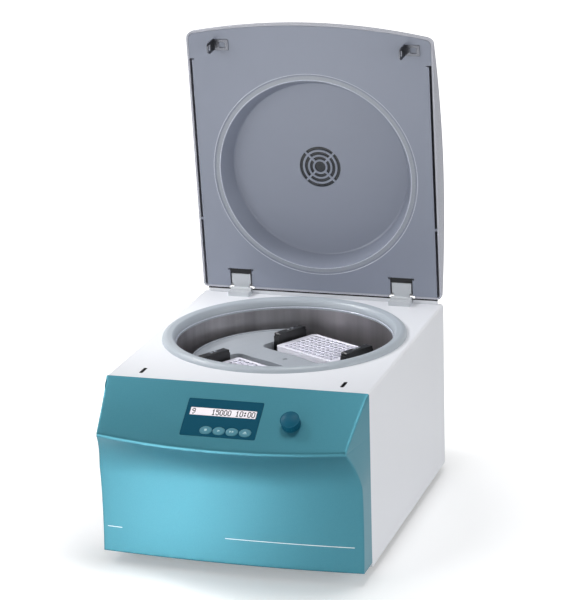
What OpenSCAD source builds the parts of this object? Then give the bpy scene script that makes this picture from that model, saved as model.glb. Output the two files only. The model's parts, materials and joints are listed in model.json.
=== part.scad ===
// Microplate centrifuge: a bench instrument with a round steel chamber under a hinged lid.
// A spinning yoke carries two trays, and each tray swings out with one 96-well plate on it.
// Millimetres. The bench is z = 0, the user stands at -Y and +X is the user's right.
// Pieces are first placed round the chamber's axis, then moved so that the origin lies under
// the middle of the whole object with its lid open.

/* [Housing] */
// Distance from the steel bowl to each side of the housing
side_margin = 33.5; // [32:0.5:50]
// Height of the deck above the bench
deck_height = 275; // [268:1:300]
// Distance from the steel bowl to the deck's front edge
front_margin = 74.5; // [70:0.5:95]
// Distance from the steel bowl to the deck's rear edge
rear_margin = 41.5; // [39:0.5:60]
// Thickness of the housing's walls
housing_wall = 2.5; // [1.5:0.1:3.5]
// Thickness of the deck
deck_plate = 3; // [2:0.1:4]
// Radius of the housing's long top edges
edge_radius = 4; // [2:0.5:7]
// Height of the rubber feet
foot_height = 12; // [8:0.5:20]
// Radius of the rubber feet
foot_radius = 16; // [10:0.5:22]
// Thickness of the base plate
base_thickness = 3; // [2:0.5:5]

/* [Front panel] */
// Angle of the control slope below the horizontal
slope_angle = 36.8; // [32:0.1:40]
// Length of the slope at its two ends
slope_end = 104.5; // [98:0.5:112]
// Extra length of the slope at the middle, where the ridge bows forward
ridge_bow = 12.5; // [0:0.5:16]
// Distance by which each end of the ridge is set in from the side
ridge_inset = 12.5; // [4:0.5:20]
// Distance that the lower face stands in front of the deck edge at its ends
lower_reach = 42; // [36:0.5:48]
// Extra reach of the lower face at the middle
lower_bow = 9; // [0:0.5:12]
// Height of the panel's bottom edge above the bench
panel_bottom = 19; // [15:0.5:26]
// Wall of the moulded panel
panel_wall = 3; // [2:0.1:4]

/* [Controls] */
// Width of the dark control foil
foil_width = 112; // [108:1:120]
// Height of the control foil along the slope
foil_height = 63.5; // [60:0.5:68]
// Sideways place of the foil's middle
foil_x = -6; // [-10:0.5:-2]
// Distance of the foil's middle down the slope
foil_s = 60.5; // [58:0.5:63]
// Thickness of the control foil
foil_thickness = 1.4; // [1:0.1:2]
// Width of the display window
display_width = 99; // [90:0.5:102]
// Height of the display window
display_height = 13.5; // [11:0.5:16]
// Width of one oval key
key_width = 18; // [15:0.2:18.6]
// Height of one oval key
key_height = 13.6; // [11:0.2:14.6]
// Distance between neighbouring keys
key_pitch = 19.5; // [19:0.1:20.5]
// Distance that a key travels when it is pressed
key_travel = 0.6; // [0.3:0.1:1]
// Radius of the turning knob
knob_radius = 14; // [10:0.5:17]
// Height of the turning knob
knob_height = 15; // [10:0.5:18]
// Sideways place of the knob
knob_x = 97; // [90:0.5:110]
// Distance of the knob's middle down the slope
knob_s = 61; // [56:0.5:66]
// Radius of the encoder's shaft
encoder_shaft_radius = 3; // [2:0.1:4]

/* [Chamber] */
// Inner radius of the steel bowl at its mouth
bowl_radius = 164; // [150:0.5:180]
// Depth of the bowl below the deck
bowl_depth = 133; // [122:0.5:136]
// Wall of the steel bowl
bowl_wall = 1.5; // [1:0.1:2]
// Width of the collar from the bowl's wall to its outer edge
collar_width = 21.5; // [19:0.5:24]
// Height of the collar's bead above the deck
collar_height = 7.7; // [6:0.1:9]
// Distance from the bowl's wall to the steel guard ring round it
guard_distance = 16; // [14:0.5:17]
// Wall of the guard ring
guard_wall = 6; // [4:0.5:8]

/* [Drive] */
// Radius of the drive shaft
shaft_radius = 8; // [6:0.5:10]
// Radius of the motor's can
motor_radius = 52; // [46:1:60]
// Distance from the motor's top to the bowl's floor
motor_clearance = 16; // [14:0.5:24]
// Height of the rubber mounts under the motor plate
mount_height = 9; // [7:0.5:10]
// Side of the square fan frame
fan_size = 80; // [70:1:90]
// Depth of the fan frame
fan_depth = 25; // [20:1:32]

/* [Rotor] */
// Distance from the rotor's rim to the bowl's wall
rotor_clearance = 19; // [14:0.5:22]
// Distance of the rotor's middle below the deck
rotor_drop = 38.5; // [36:0.5:42]
// Thickness of the rotor's arms
rotor_thickness = 23; // [20:0.5:26]
// Width of the bar between the two pockets
bar_width = 45; // [40:0.5:50]
// Direction in which the first plate swings out, turned from +X
rotor_turn = 60; // [0:1:180]
// Distance of each swing axis from the drive axis
swing_radius = 80; // [77:0.5:83]
// Distance of the swing axes below the deck
swing_drop = 44.5; // [43:0.5:46]
// Radius of the trunnion pins
trunnion_radius = 4; // [3:0.1:4.5]
// Length of one hanger along the rotor's radius
hanger_length = 58; // [50:1:64]
// Thickness of one hanger
hanger_thickness = 12; // [9:0.5:13]
// Height of the hangers above the top of the plate
hanger_rise = 14; // [10:0.5:16]
// Thickness of the tray's floor
tray_thickness = 2.4; // [1.5:0.1:3]

/* [Microplate] */
// Length of a microplate's footprint
plate_length = 127.76; // [127:0.01:128]
// Width of a microplate's footprint
plate_width = 85.48; // [85:0.01:86]
// Height of a microplate
plate_height = 14.35; // [13.5:0.01:15]
// Distance between neighbouring wells
well_pitch = 9; // [8.5:0.01:9.2]
// Radius of one well
well_radius = 3.48; // [2.5:0.01:3.7]
// Depth of one well
well_depth = 10.9; // [8:0.1:11.5]

/* [Lid] */
// Angle through which the lid opens
lid_open = 84.4; // [75:0.1:90]
// Distance of the hinge axis in front of the deck's rear edge
hinge_inset = 7.3; // [6:0.1:8]
// Distance of the lid's rear edge in front of the hinge axis
hinge_setback = 2.05; // [1.5:0.05:3]
// Height of the lid's inner face above the hinge axis when it is closed
hinge_rise = 1.7; // [1.2:0.1:2]
// Distance by which each side of the lid is set in from the housing
lid_inset = 1.6; // [0.5:0.1:3]
// Distance by which the lid's curved front edge passes the deck
lid_overhang = 5.6; // [2:0.1:8]
// Bow of the lid's front edge
lid_sagitta = 18.6; // [10:0.1:26]
// Corner radius of the lid seen from above
lid_corner = 12; // [6:0.5:18]
// Height of the shell's outer edges
shell_edge = 12; // [10:0.5:16]
// Extra height of the shell at the middle of its sides
shell_bulge = 38; // [32:0.5:44]
// Extra height of the shell along its middle line
shell_crown = 9; // [6:0.5:14]
// Wall of the lid's outer shell
shell_wall = 3; // [2:0.1:4]
// Thickness of the lid's inner panel
lid_plate = 2; // [1.5:0.1:3]
// Distance by which the dish's mouth is smaller than the bowl's
dish_margin = 0.8; // [0.2:0.2:5]
// Width of the dish's sloping wall
dish_slope = 21.2; // [17:0.2:27]
// Depth of the dish
dish_depth = 31; // [28:0.5:33]
// Wall of the dish
dish_wall = 2; // [1.5:0.1:2.5]
// Distance of the strikers from the housing's sides
striker_inset = 45.7; // [42:0.1:50]
// Distance of the deck slots behind the deck's front edge
slot_inset = 31; // [28:0.5:34]
// Length of the strikers below the lid's inner face
striker_length = 30; // [27:0.5:32]
// Width of one striker
striker_width = 18; // [15:0.5:20]
// Thickness of one striker
striker_thickness = 1.8; // [1.2:0.1:2.2]
// Distance of each hinge's middle from the housing's side
hinge_side = 65.5; // [58:0.5:72]
// Width of the hinge leaves
leaf_width = 31; // [28:0.5:33]
// Radius of the hinge pins
hinge_pin_radius = 2.5; // [2:0.1:3]

/* [Fits] */
// Gap between still pieces that don't touch
gap = 0.3; // [0.2:0.05:0.5]
// Gap between a turning shaft or pin and its bore
running = 0.05; // [0.02:0.01:0.1]
// Gap between the closed lid and the collar
lid_gap = 0.5; // [0.3:0.1:0.9]
// Gap round the plate on its tray
tray_clearance = 0.4; // [0.3:0.05:0.6]

/* [Hidden] */
$fn = 72;
cut = 1;

// Sizes that follow the steel bowl
half_width = bowl_radius + side_margin;
deck_front = bowl_radius + front_margin;
deck_rear = bowl_radius + rear_margin;
collar_radius = bowl_radius + collar_width;
guard_radius = bowl_radius + guard_distance;
rotor_radius = bowl_radius - rotor_clearance;
dish_radius = bowl_radius - dish_margin;
dish_floor_radius = dish_radius - dish_slope;
striker_x = half_width - striker_inset;
hinge_x = half_width - hinge_side;

// Hinge axis, and the lid's own sizes, all tied to the deck and the collar
hinge_y = deck_rear - hinge_inset;
hinge_z = deck_height + collar_height + lid_gap - hinge_rise;
lid_half = half_width - lid_inset;
lid_apex = hinge_y - hinge_setback + deck_front + lid_overhang;
lid_bow_radius = (lid_half * lid_half + lid_sagitta * lid_sagitta) / (2 * lid_sagitta);
dish_s = hinge_y - hinge_setback;
slot_y = slot_inset - deck_front;
striker_s = hinge_y - hinge_setback - slot_y;

// Height of the shell's outer face over its inner face, at x and at s from the rear edge
function shell_height(x, s) =
  shell_edge + shell_bulge * (1 - pow(abs(2 * s / lid_apex - 0.95), 1.9))
  + shell_crown * (1 - pow(x / lid_half, 2));
function lid_front(x) = lid_apex - lid_bow_radius + sqrt(pow(lid_bow_radius, 2) - x * x);
// Height lost to an edge radius r at a distance e from the edge
function edge_drop(e, r) = e >= r ? 0 : r - sqrt(max(0, r * r - pow(r - e, 2)));

module place() { translate([0, middle_shift, 0]) children(); }
// Rotor's own frame: +Y is the way the first plate swings out
module on_rotor() { place() rotate([0, 0, rotor_turn - 90]) children(); }
// Slope's own frame: +Y runs up the slope and +Z stands out of it
module on_slope(x = 0, s = 0) {
  place() translate([0, -deck_front, deck_height]) rotate([slope_angle, 0, 0])
    translate([x, -s, 0]) children();
}
// Lid's own frame: closed, inner face at z = 0, rear edge at y = 0 and front at -Y
module on_lid() {
  place() translate([0, hinge_y, hinge_z]) rotate([-lid_open, 0, 0])
    translate([0, -hinge_setback, hinge_rise]) children();
}
module both_sides() { for (side = [0, 1]) mirror([side, 0, 0]) children(); }

// Plain shapes
module rounded_rect(w, d, r) {
  square([w - 2 * r, d], center = true);
  square([w, d - 2 * r], center = true);
  for (x = [-1, 1], y = [-1, 1]) translate([x * (w / 2 - r), y * (d / 2 - r)]) circle(r);
}
module rounded_block(w, d, h, r) { linear_extrude(h) rounded_rect(w, d, r); }
module oval_block(w, d, h) {
  linear_extrude(h) {
    square([w - d, d], center = true);
    for (x = [-1, 1]) translate([x * (w - d) / 2, 0]) circle(d / 2);
  }
}
module ring(outer, inner, h) {
  difference() {
    cylinder(r = outer, h = h);
    translate([0, 0, -cut]) cylinder(r = inner, h = h + 2 * cut);
  }
}
module box(x0, x1, y0, y1, z0, z1) { translate([x0, y0, z0]) cube([x1 - x0, y1 - y0, z1 - z0]); }

// Base, feet and housing
base_top = foot_height + base_thickness;
foot_inset_x = 32;
foot_inset_y = 28;
inner_half = half_width - housing_wall;
deck_under = deck_height - deck_plate;
rear_inside = deck_rear - housing_wall;
neck_radius = bowl_radius + 8;
seat = 0.02;

module foot_pads() {
  color("dimgray") place() both_sides() for (y = [-deck_front + foot_inset_y, deck_rear - foot_inset_y])
    translate([half_width - foot_inset_x, y, 0]) {
      cylinder(r = foot_radius, h = foot_height * 0.6);
      translate([0, 0, foot_height * 0.6]) cylinder(r = foot_radius * 0.8, h = foot_height * 0.4);
    }
}

module base_plate() {
  color("silver") place() difference() {
    box(-inner_half + gap, inner_half - gap, -deck_front + housing_wall + gap, rear_inside - gap,
      foot_height, base_top);
    for (x = [-120:20:120]) translate([x, deck_rear - 36, foot_height - cut])
      rounded_block(3.6, 24, base_thickness + 2 * cut, 1.7);
  }
}

// Section of the housing across its width, grown inwards by d
module housing_section(d, top) {
  r = max(1, edge_radius - d);
  w = half_width - d;
  translate([-w, foot_height]) square([2 * w, top - r - foot_height]);
  translate([-w + r, foot_height]) square([2 * (w - r), top - foot_height]);
  for (x = [-1, 1]) translate([x * (w - r), top - r]) circle(r);
}

// Places on the rear wall
fan_x = 80.5 - half_width;
fan_z = base_top + fan_size / 2 + 45;
inlet_x = half_width - 77.5;
inlet_z = base_top + 42;
switch_z = inlet_z + 48;
slot_length = striker_width + 2 * (gap + 1.5);
slot_width = striker_thickness + 2;
screw_radius = 1.5;
fan_screw = fan_size / 2 - 4.5;
inlet_screw = 20;
rear_screws = concat(
  [for (x = [-1, 1], z = [30, deck_height - 30]) [x * (half_width - 12), z]],
  [for (x = [-1, 1], z = [-1, 1]) [fan_x + x * fan_screw, fan_z + z * fan_screw]],
  [for (x = [-1, 1]) [inlet_x + x * inlet_screw, inlet_z]]);

// Ring slots in four parts, in the XY plane, for a guard or a grille
module ring_slots(radii, width, spoke, h) {
  difference() {
    for (r = radii) ring(r, r - width, h);
    for (a = [45, 135]) rotate([0, 0, a]) translate([-fan_size, -spoke / 2, -cut])
      cube([2 * fan_size, spoke, h + 3 * cut]);
  }
}

module housing() {
  color("whitesmoke") place() difference() {
    translate([0, deck_rear, 0]) rotate([90, 0, 0])
      linear_extrude(deck_rear + deck_front) housing_section(0, deck_height);
    translate([0, rear_inside, -cut]) rotate([90, 0, 0])
      linear_extrude(rear_inside + deck_front - housing_wall)
        housing_section(housing_wall, deck_under + cut);
    box(-inner_half, inner_half, -deck_front + housing_wall, rear_inside,
      foot_height - cut, foot_height + cut);
    // Window behind the control slope
    box(-120, 130, -deck_front - cut, -deck_front + housing_wall + cut, 170, 250);
    translate([0, 0, deck_under - cut]) cylinder(r = neck_radius, h = deck_plate + 2 * cut);
    for (x = [-1, 1]) translate([x * striker_x, slot_y, deck_under - cut])
      rounded_block(slot_width, slot_length, deck_plate + 2 * cut, 1);
    // Rear wall: warm air slots, fan guard, inlet, switch and screw holes
    for (x = [-150:10:150]) box(x - 1.8, x + 1.8, rear_inside - cut, deck_rear + cut,
      deck_height - 70, deck_height - 24);
    translate([fan_x, deck_rear + cut, fan_z]) rotate([90, 0, 0])
      ring_slots([10, 16, 22, 28, 34], 3.6, 4, housing_wall + 2 * cut);
    box(inlet_x - 14.5, inlet_x + 14.5, rear_inside - cut, deck_rear + cut, inlet_z - 11, inlet_z + 11);
    box(inlet_x - 14, inlet_x + 14, rear_inside - cut, deck_rear + cut, switch_z - 10, switch_z + 10);
    for (p = rear_screws) translate([p[0], deck_rear + cut, p[1]]) rotate([90, 0, 0])
      cylinder(r = screw_radius + 0.1, h = housing_wall + 2 * cut);
  }
}

module housing_screws() {
  color("gainsboro") place() for (i = [0:len(rear_screws) - 1]) {
    // The inlet's flange lies between its two screws and the wall
    lift = i < len(rear_screws) - 2 ? 0 : inlet_flange;
    translate([rear_screws[i][0], deck_rear + lift, rear_screws[i][1]]) rotate([90, 0, 0]) {
      cylinder(r = screw_radius, h = housing_wall + lift + 4);
      translate([0, 0, -2]) difference() {
        cylinder(r = 3, h = 2);
        translate([-2, -0.4, -cut]) cube([4, 0.8, cut + 0.8]);
        translate([-0.4, -2, -cut]) cube([0.8, 4, cut + 0.8]);
      }
    }
  }
}

// Front panel. Its side profile runs down the slope, over the ridge, in under it and down.
// A profile point is [distance in front of the deck edge, height].
function bezier(a, b, c, d, t) =
  a * pow(1 - t, 3) + 3 * b * t * pow(1 - t, 2) + 3 * c * t * t * (1 - t) + d * pow(t, 3);
slope_way = [cos(slope_angle), -sin(slope_angle)];
under_way = [-0.70, -0.714];
waist_z = deck_height * 0.51;
ridge_round = 6;
function ridge(u) = [gap, deck_height] + (slope_end + ridge_bow * (1 - u * u)) * slope_way;
function lower(u, z, extra) = [lower_reach + lower_bow * (1 - u * u) + extra, z];
function side_profile(u) = let (
    r = ridge(u), p = r - ridge_round * slope_way, q = r + ridge_round * under_way,
    m = lower(u, waist_z, 2), e = lower(u, panel_bottom, 2))
  concat(
    [for (k = [0:3]) [gap, deck_height] + (p - [gap, deck_height]) * k / 4],
    [for (k = [0:5]) bezier(p, p + 4 * slope_way, q - 4 * under_way, q, k / 6)],
    [for (k = [0:9]) bezier(q, q + 26 * under_way, m + [3, 24], m, k / 10)],
    [for (k = [0:5]) bezier(m, m + [-4, -32], e + [-3.5, 36], e, k / 5)],
    [[gap, panel_bottom]]);
// Inner profile, one wall behind the outer one. Both start and end on the flat back.
function outward(p, j) = let (
    a = p[max(j - 1, 0)], b = p[min(j + 1, len(p) - 1)], d = (b - a) / norm(b - a)) [-d[1], d[0]];
function inner_profile(p, w) = let (n = len(p) - 1) concat(
  [[gap, deck_height - w / cos(slope_angle)]],
  [for (j = [1:n - 2]) p[j] - w * outward(p, j)],
  [[p[n - 1][0] - w, panel_bottom + w], [gap, panel_bottom + w]]);
function set_in(q, u) = let (r = ridge(u), flush_z = deck_height * 0.54)
  q[1] > r[1] && q[0] < r[0] && q[1] > deck_height - q[0] * tan(slope_angle) - panel_wall * 2
  ? ridge_inset * pow(max(0, q[0]) / r[0], 0.8)
  : ridge_inset * pow(max(0, min(1, (q[1] - flush_z) / (r[1] - flush_z))), 1.2);
panel_steps = 16;
function station(i) = 2 * i / panel_steps - 1;
function panel_points(w) = [for (i = [0:panel_steps]) let (
    u = station(i), outer = side_profile(u), p = w > 0 ? inner_profile(outer, w) : outer)
  for (j = [0:len(p) - 1]) [u * (half_width - w - set_in(outer[j], u)), -deck_front - p[j][0], p[j][1]]];
function cheek_middle(u, w) = [u * (half_width - w), -deck_front - 12, deck_height / 2];

// Faces of a grid of m rows with n points each, counted from a first point
function grid_faces(first, m, n) = [for (i = [0:m - 2], j = [0:n - 2], half = [0, 1])
  let (a = first + i * n + j) half == 0 ? [a, a + n, a + n + 1] : [a, a + n + 1, a + 1]];
function flip(faces) = [for (f = faces) [f[0], f[2], f[1]]];
// Faces between two loops, or between two open lines, of equal length
function strip_faces(a, b, closed) = let (c = len(a)) [
  for (k = [0:c - (closed ? 1 : 2)], half = [0, 1]) let (l = (k + 1) % c)
    half == 0 ? [a[k], b[k], b[l]] : [a[k], b[l], a[l]]];
// Faces from a middle point to an open line
function fan_faces(middle, line) = [for (k = [0:len(line) - 2]) [middle, line[k], line[k + 1]]];

// The moulded shell, open at its flat back
module panel_skin() {
  outer = panel_points(0);
  inner = panel_points(panel_wall);
  m = panel_steps + 1;
  n = len(outer) / m;
  count = m * n;
  middles = [for (w = [0, panel_wall], side = [-1, 1]) cheek_middle(side, w)];
  last = (m - 1) * n;
  row = function(first, i) [for (j = [0:n - 1]) first + i * n + j];
  column = function(first, j) [for (i = [0:m - 1]) first + i * n + j];
  polyhedron(concat(outer, inner, middles), concat(
    grid_faces(0, m, n), flip(grid_faces(count, m, n)),
    // Cheeks, outside and inside, closed along the flat back
    fan_faces(2 * count, row(0, 0)), flip(fan_faces(2 * count + 1, row(0, m - 1))),
    flip(fan_faces(2 * count + 2, row(count, 0))), fan_faces(2 * count + 3, row(count, m - 1)),
    [[2 * count, n - 1, 0], [2 * count + 1, last, last + n - 1],
      [2 * count + 2, count, count + n - 1], [2 * count + 3, count + last + n - 1, count + last]],
    // Rim of the open back
    strip_faces(column(0, 0), column(count, 0), false),
    flip(strip_faces(column(0, n - 1), column(count, n - 1), false)),
    flip(strip_faces([0, n - 1], [count, count + n - 1], false)),
    strip_faces([last, last + n - 1], [count + last, count + last + n - 1], false)));
}

board_depth = 18;
board_thickness = 1.6;
foil_proud = 0.4;
display_x = foil_x - 0.5;
key_stem = 4;
boss_radius = 4;
board_left = -66;
board_right = 116;
key_first = foil_x - 19;
key_s = foil_s + 21;
display_s = foil_s - 10.3;
boss_places = [[board_left + 6, display_s - 14], [board_right - 6, display_s - 14],
  [board_left + 6, key_s + 4], [board_right - 6, key_s + 4]];

module front_panel() {
  color("cadetblue") {
    difference() {
      place() panel_skin();
      // Shallow bed for the foil, and holes for the display, the keys and the encoder
      on_slope(foil_x, foil_s) translate([0, 0, -foil_thickness + foil_proud])
        rounded_block(foil_width + 2 * gap, foil_height + 2 * gap, 10, 2.5);
      on_slope(display_x, display_s) translate([0, 0, -10])
        rounded_block(display_width + 2 * gap, display_height + 2 * gap, 12, 1);
      for (k = [0:3]) on_slope(key_first + k * key_pitch, key_s) translate([0, 0, -10])
        cylinder(r = key_stem + gap, h = 12);
      on_slope(knob_x, knob_s) translate([0, 0, -10]) cylinder(r = encoder_shaft_radius + 1.5, h = 20);
    }
    for (b = boss_places) on_slope(b[0], b[1]) translate([0, 0, -board_depth])
      cylinder(r = boss_radius, h = board_depth - panel_wall + 0.5);
  }
}

module control_foil() {
  color("darkslategray") difference() {
    on_slope(foil_x, foil_s) translate([0, 0, -foil_thickness + foil_proud + seat])
      rounded_block(foil_width, foil_height, foil_thickness, 2);
    on_slope(display_x, display_s) translate([0, 0, -cut - foil_thickness])
      rounded_block(display_width, display_height, 6, 1);
    for (k = [0:3]) on_slope(key_first + k * key_pitch, key_s)
      translate([0, 0, -cut - foil_thickness]) oval_block(key_width + 2 * gap, key_height + 2 * gap, 6);
  }
}

module display_module() {
  color("lavender") on_slope(display_x, display_s) {
    translate([0, 0, -board_depth + board_thickness + seat])
      rounded_block(display_width - 2 * gap, display_height - 2 * gap, board_depth - board_thickness - 0.2, 1);
    translate([0, 0, -board_depth + board_thickness + seat])
      rounded_block(display_width + 3, display_height + 6, board_depth - panel_wall - 3, 1);
  }
}

module key(k) {
  color("slategray") on_slope(key_first + k * key_pitch, key_s) {
    translate([0, 0, foil_proud - foil_thickness + key_travel + gap])
      oval_block(key_width, key_height, foil_thickness - gap + 0.1);
    translate([0, 0, -board_depth + board_thickness + key_travel + gap])
      cylinder(r = key_stem, h = board_depth - board_thickness - gap);
  }
}
module key_1() { key(0); }
module key_2() { key(1); }
module key_3() { key(2); }
module key_4() { key(3); }

module control_board() {
  color("seagreen") difference() {
    on_slope((board_left + board_right) / 2, foil_s + 4) translate([0, 0, -board_depth - seat])
      rounded_block(board_right - board_left, foil_height + 6, board_thickness, 2);
    for (b = boss_places) on_slope(b[0], b[1]) translate([0, 0, -board_depth - cut])
      cylinder(r = boss_radius + gap, h = 4);
  }
  // Washers that hold the board on its bosses
  color("silver") for (b = boss_places) on_slope(b[0], b[1]) translate([0, 0, -board_depth - 2.4])
    ring(boss_radius + 1.4, 1, 2.4 - seat);
}

module encoder() {
  color("gray") on_slope(knob_x, knob_s) {
    translate([-7, -7, -board_depth + board_thickness]) cube([14, 14, 9]);
    translate([0, 0, -board_depth + 9]) cylinder(r = 4, h = board_depth - 9 - 0.5);
    translate([0, 0, -board_depth + 9])
      cylinder(r = encoder_shaft_radius, h = board_depth - 9 + knob_height - knob_cap);
  }
}

knob_cap = 5;
knob_dome = 3;
knob_curve = 30;
module control_knob() {
  color("teal") on_slope(knob_x, knob_s) difference() {
    union() {
      translate([0, 0, gap]) cylinder(r = knob_radius, h = knob_height - knob_dome);
      translate([0, 0, knob_height - knob_dome]) rotate_extrude() intersection() {
        translate([0, knob_dome - knob_curve]) circle(knob_curve, $fn = 180);
        square([knob_radius, 10]);
      }
    }
    translate([0, 0, -cut])
      cylinder(r = encoder_shaft_radius + running, h = knob_height - knob_cap + gap + cut);
    // Grip grooves
    for (a = [0:15:345]) rotate([0, 0, a]) translate([knob_radius + 0.5, 0, 2])
      cylinder(r = 1, h = knob_height - 2 * knob_dome, $fn = 24);
  }
}

// Chamber
bowl_floor = deck_height - bowl_depth;
bowl_fillet = 30;
flange_z = deck_height - 10;
neck_inner = 26;
collar_lip = deck_height - 8;

// Half section of the space inside the bowl, grown outwards by d, up to a height
module bowl_space(d, top) {
  r = bowl_fillet + d;
  z = bowl_floor + bowl_fillet;
  translate([0, bowl_floor - d]) square([bowl_radius - bowl_fillet, z - bowl_floor + d]);
  translate([0, z]) square([bowl_radius + d, top - z]);
  intersection() {
    translate([bowl_radius - bowl_fillet, z]) circle(r);
    square([bowl_radius + d, deck_height]);
  }
}

module chamber_bowl() {
  color("slategray") place() rotate_extrude($fn = 120) difference() {
    union() {
      bowl_space(bowl_wall, flange_z + bowl_wall);
      translate([bowl_radius - 1, flange_z]) square([12, bowl_wall]);
      translate([0, bowl_floor]) square([neck_inner + bowl_wall, 8]);
    }
    difference() {
      bowl_space(0, deck_height);
      square([neck_inner + bowl_wall, bowl_floor + 8]);
    }
    square([neck_inner, deck_height]);
  }
}

// Collar: a soft grey ring with a rounded bead on the deck and a lip sloping into the bowl
module bowl_collar() {
  bead_width = 8.5;
  bead = collar_radius - bead_width;
  color("silver") place() rotate_extrude($fn = 120) difference() {
    polygon(concat(
      [[bowl_radius + gap, flange_z + bowl_wall + seat], [bowl_radius + gap, collar_lip + 1.5]],
      [for (a = [0:15:90]) [bead - 5 - (bead - 5 - bowl_radius - 1) * cos(a),
        collar_lip + 2.5 + (collar_height + 4.5) * sin(a)]],
      [for (a = [90:-15:0]) [bead + bead_width * cos(a),
        deck_height + seat + (collar_height - seat) * sin(a)]],
      [[collar_radius, deck_height + seat], [neck_radius - gap, deck_height + seat],
        [neck_radius - gap, flange_z + bowl_wall + seat]]));
    // Step line between the bead and the lip
    translate([bead - 7, deck_height + collar_height - 0.4]) circle(0.6, $fn = 24);
  }
}

module guard_ring() {
  color("darkgray") place() difference() {
    translate([0, 0, base_top + seat]) ring(guard_radius + guard_wall, guard_radius, flange_z - base_top - 8);
    for (a = [45:90:315]) rotate([0, 0, a]) translate([guard_radius - 10, -12, 0]) cube([30, 24, 60]);
  }
}

// Drive, stacked on the base plate under the bowl
motor_base = base_top + mount_height + 6;
motor_top = bowl_floor - motor_clearance;
motor_height = motor_top - motor_base;
bearing_radius = shaft_radius + 9;
bearing_height = 8;
can_wall = 5;
stator_depth = 12;
core_gap = 1;

module motor_mounts() {
  color("black") place() for (a = [45:90:315]) rotate([0, 0, a])
    translate([motor_radius + 14, 0, base_top + seat]) cylinder(r = 9, h = mount_height - 2 * seat);
}

module motor_plate() {
  color("lightgray") place() difference() {
    translate([0, 0, motor_base - 6]) intersection() {
      rounded_block(2 * motor_radius + 30, 2 * motor_radius + 30, 6 - seat, 10);
      cylinder(r = motor_radius + 27, h = 20);
    }
    cylinder(r = bearing_radius + 3, h = deck_height);
  }
}

module motor_can() {
  color("gray") place() difference() {
    union() {
      translate([0, 0, motor_base]) cylinder(r = motor_radius - 2, h = motor_height);
      for (z = [6:8:motor_height - 8]) translate([0, 0, motor_base + z]) cylinder(r = motor_radius, h = 4);
    }
    translate([0, 0, motor_base + bearing_height + 4])
      cylinder(r = motor_radius - can_wall - 2, h = motor_height - 2 * bearing_height - 8);
    translate([0, 0, motor_base - cut]) cylinder(r = bearing_radius, h = motor_height + 2 * cut);
  }
}

module motor_stator() {
  inner = motor_radius - can_wall - 2 - seat;
  color("peru") place() translate([0, 0, motor_base + bearing_height + 14]) difference() {
    ring(inner, inner - stator_depth, motor_height - 2 * bearing_height - 28);
    for (a = [0:30:330]) rotate([0, 0, a]) translate([inner - 13, -1.5, -cut]) cube([7, 3, motor_height]);
  }
}

module motor_core() {
  color("dimgray") place() translate([0, 0, motor_base + bearing_height + 16])
    ring(motor_radius - can_wall - 2 - stator_depth - core_gap, shaft_radius + seat,
      motor_height - 2 * bearing_height - 32);
}

module motor_bearings() {
  color("silver") place() for (z = [motor_base, motor_top - bearing_height]) translate([0, 0, z])
    ring(bearing_radius - seat, shaft_radius + running, bearing_height);
}

// Rotor heights
rotor_top = deck_height - rotor_drop;
swing_z = deck_height - swing_drop;
plate_top = rotor_top - 0.5;
tray_top = plate_top - plate_height - seat;
hanger_in = plate_length / 2 + tray_clearance + 3.7;
hanger_out = hanger_in + hanger_thickness;
hanger_top = plate_top + hanger_rise;
pocket_half = hanger_out + 1;
pocket_corner = 12;
nut_radius = 12;

module motor_shaft() {
  color("silver") place() {
    translate([0, 0, motor_base - 4]) cylinder(r = shaft_radius, h = rotor_top - 14 - motor_base + 4);
    translate([0, 0, rotor_top - 15]) cylinder(r = shaft_radius - 2.5, h = 12);
  }
}

module shaft_boot() {
  lid_z = bowl_floor + 8 + seat;
  color("black") place() {
    translate([0, 0, lid_z]) ring(neck_inner + bowl_wall + 3, shaft_radius + 1, 2.5);
    translate([0, 0, lid_z - 6]) ring(neck_inner + bowl_wall + 3, neck_inner + bowl_wall + seat, 7);
    translate([0, 0, lid_z]) ring(shaft_radius + 4, shaft_radius + 1, 7);
  }
}

module pocket() {
  x = pocket_half - pocket_corner;
  y = bar_width / 2;
  translate([-x, y]) square([2 * x, rotor_radius]);
  translate([-pocket_half, y + pocket_corner]) square([2 * pocket_half, rotor_radius]);
  for (side = [-1, 1]) translate([side * x, y + pocket_corner]) circle(pocket_corner);
}

module rotor_body() {
  r = rotor_radius;
  low = -rotor_thickness;
  color("lightsteelblue") difference() {
    on_rotor() difference() {
      translate([0, 0, rotor_top]) rotate_extrude($fn = 120) polygon(concat(
        [[shaft_radius + seat, low - 21], [shaft_radius + 12, low - 21], [shaft_radius + 17, low],
          [r - 7, low], [r - 3, low + 3], [r, low + 8], [r, 1.5]],
        [for (a = [0:30:180]) [r - 1.5 + 1.5 * cos(a), 1.5 + 2 * sin(a)]],
        [[r - 6, 1.6], [r - 14, 0.2], [r - 30, -0.6], [75, -1.6], [50, -1.8], [30, -1], [18, 0],
          [nut_radius + seat, 0], [nut_radius + seat, -6], [shaft_radius + seat, -6]]));
      for (turn = [0, 180]) rotate([0, 0, turn]) translate([0, 0, rotor_top + low - cut])
        linear_extrude(rotor_thickness + 20) pocket();
      // Bores for the trunnion pins
      for (y = [-1, 1]) translate([-pocket_half - 20, y * swing_radius, swing_z]) rotate([0, 90, 0])
        cylinder(r = trunnion_radius + seat, h = 2 * pocket_half + 40);
      // Lightening holes in the wings
      for (x = [-1, 1]) translate([x * (pocket_half + 32), 0, rotor_top + low - cut])
        cylinder(r = 14, h = 12 + cut);
    }
  }
}

module rotor_nut() {
  color("silver") place() difference() {
    translate([0, 0, rotor_top - 6 + seat]) cylinder(r = nut_radius, h = 6);
    translate([0, 0, rotor_top - 6 - cut]) cylinder(r = shaft_radius - 2.5 + seat, h = 4.5);
    translate([0, 0, rotor_top - 1.4]) cylinder(r = 4, h = 3, $fn = 6);
  }
}

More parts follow.
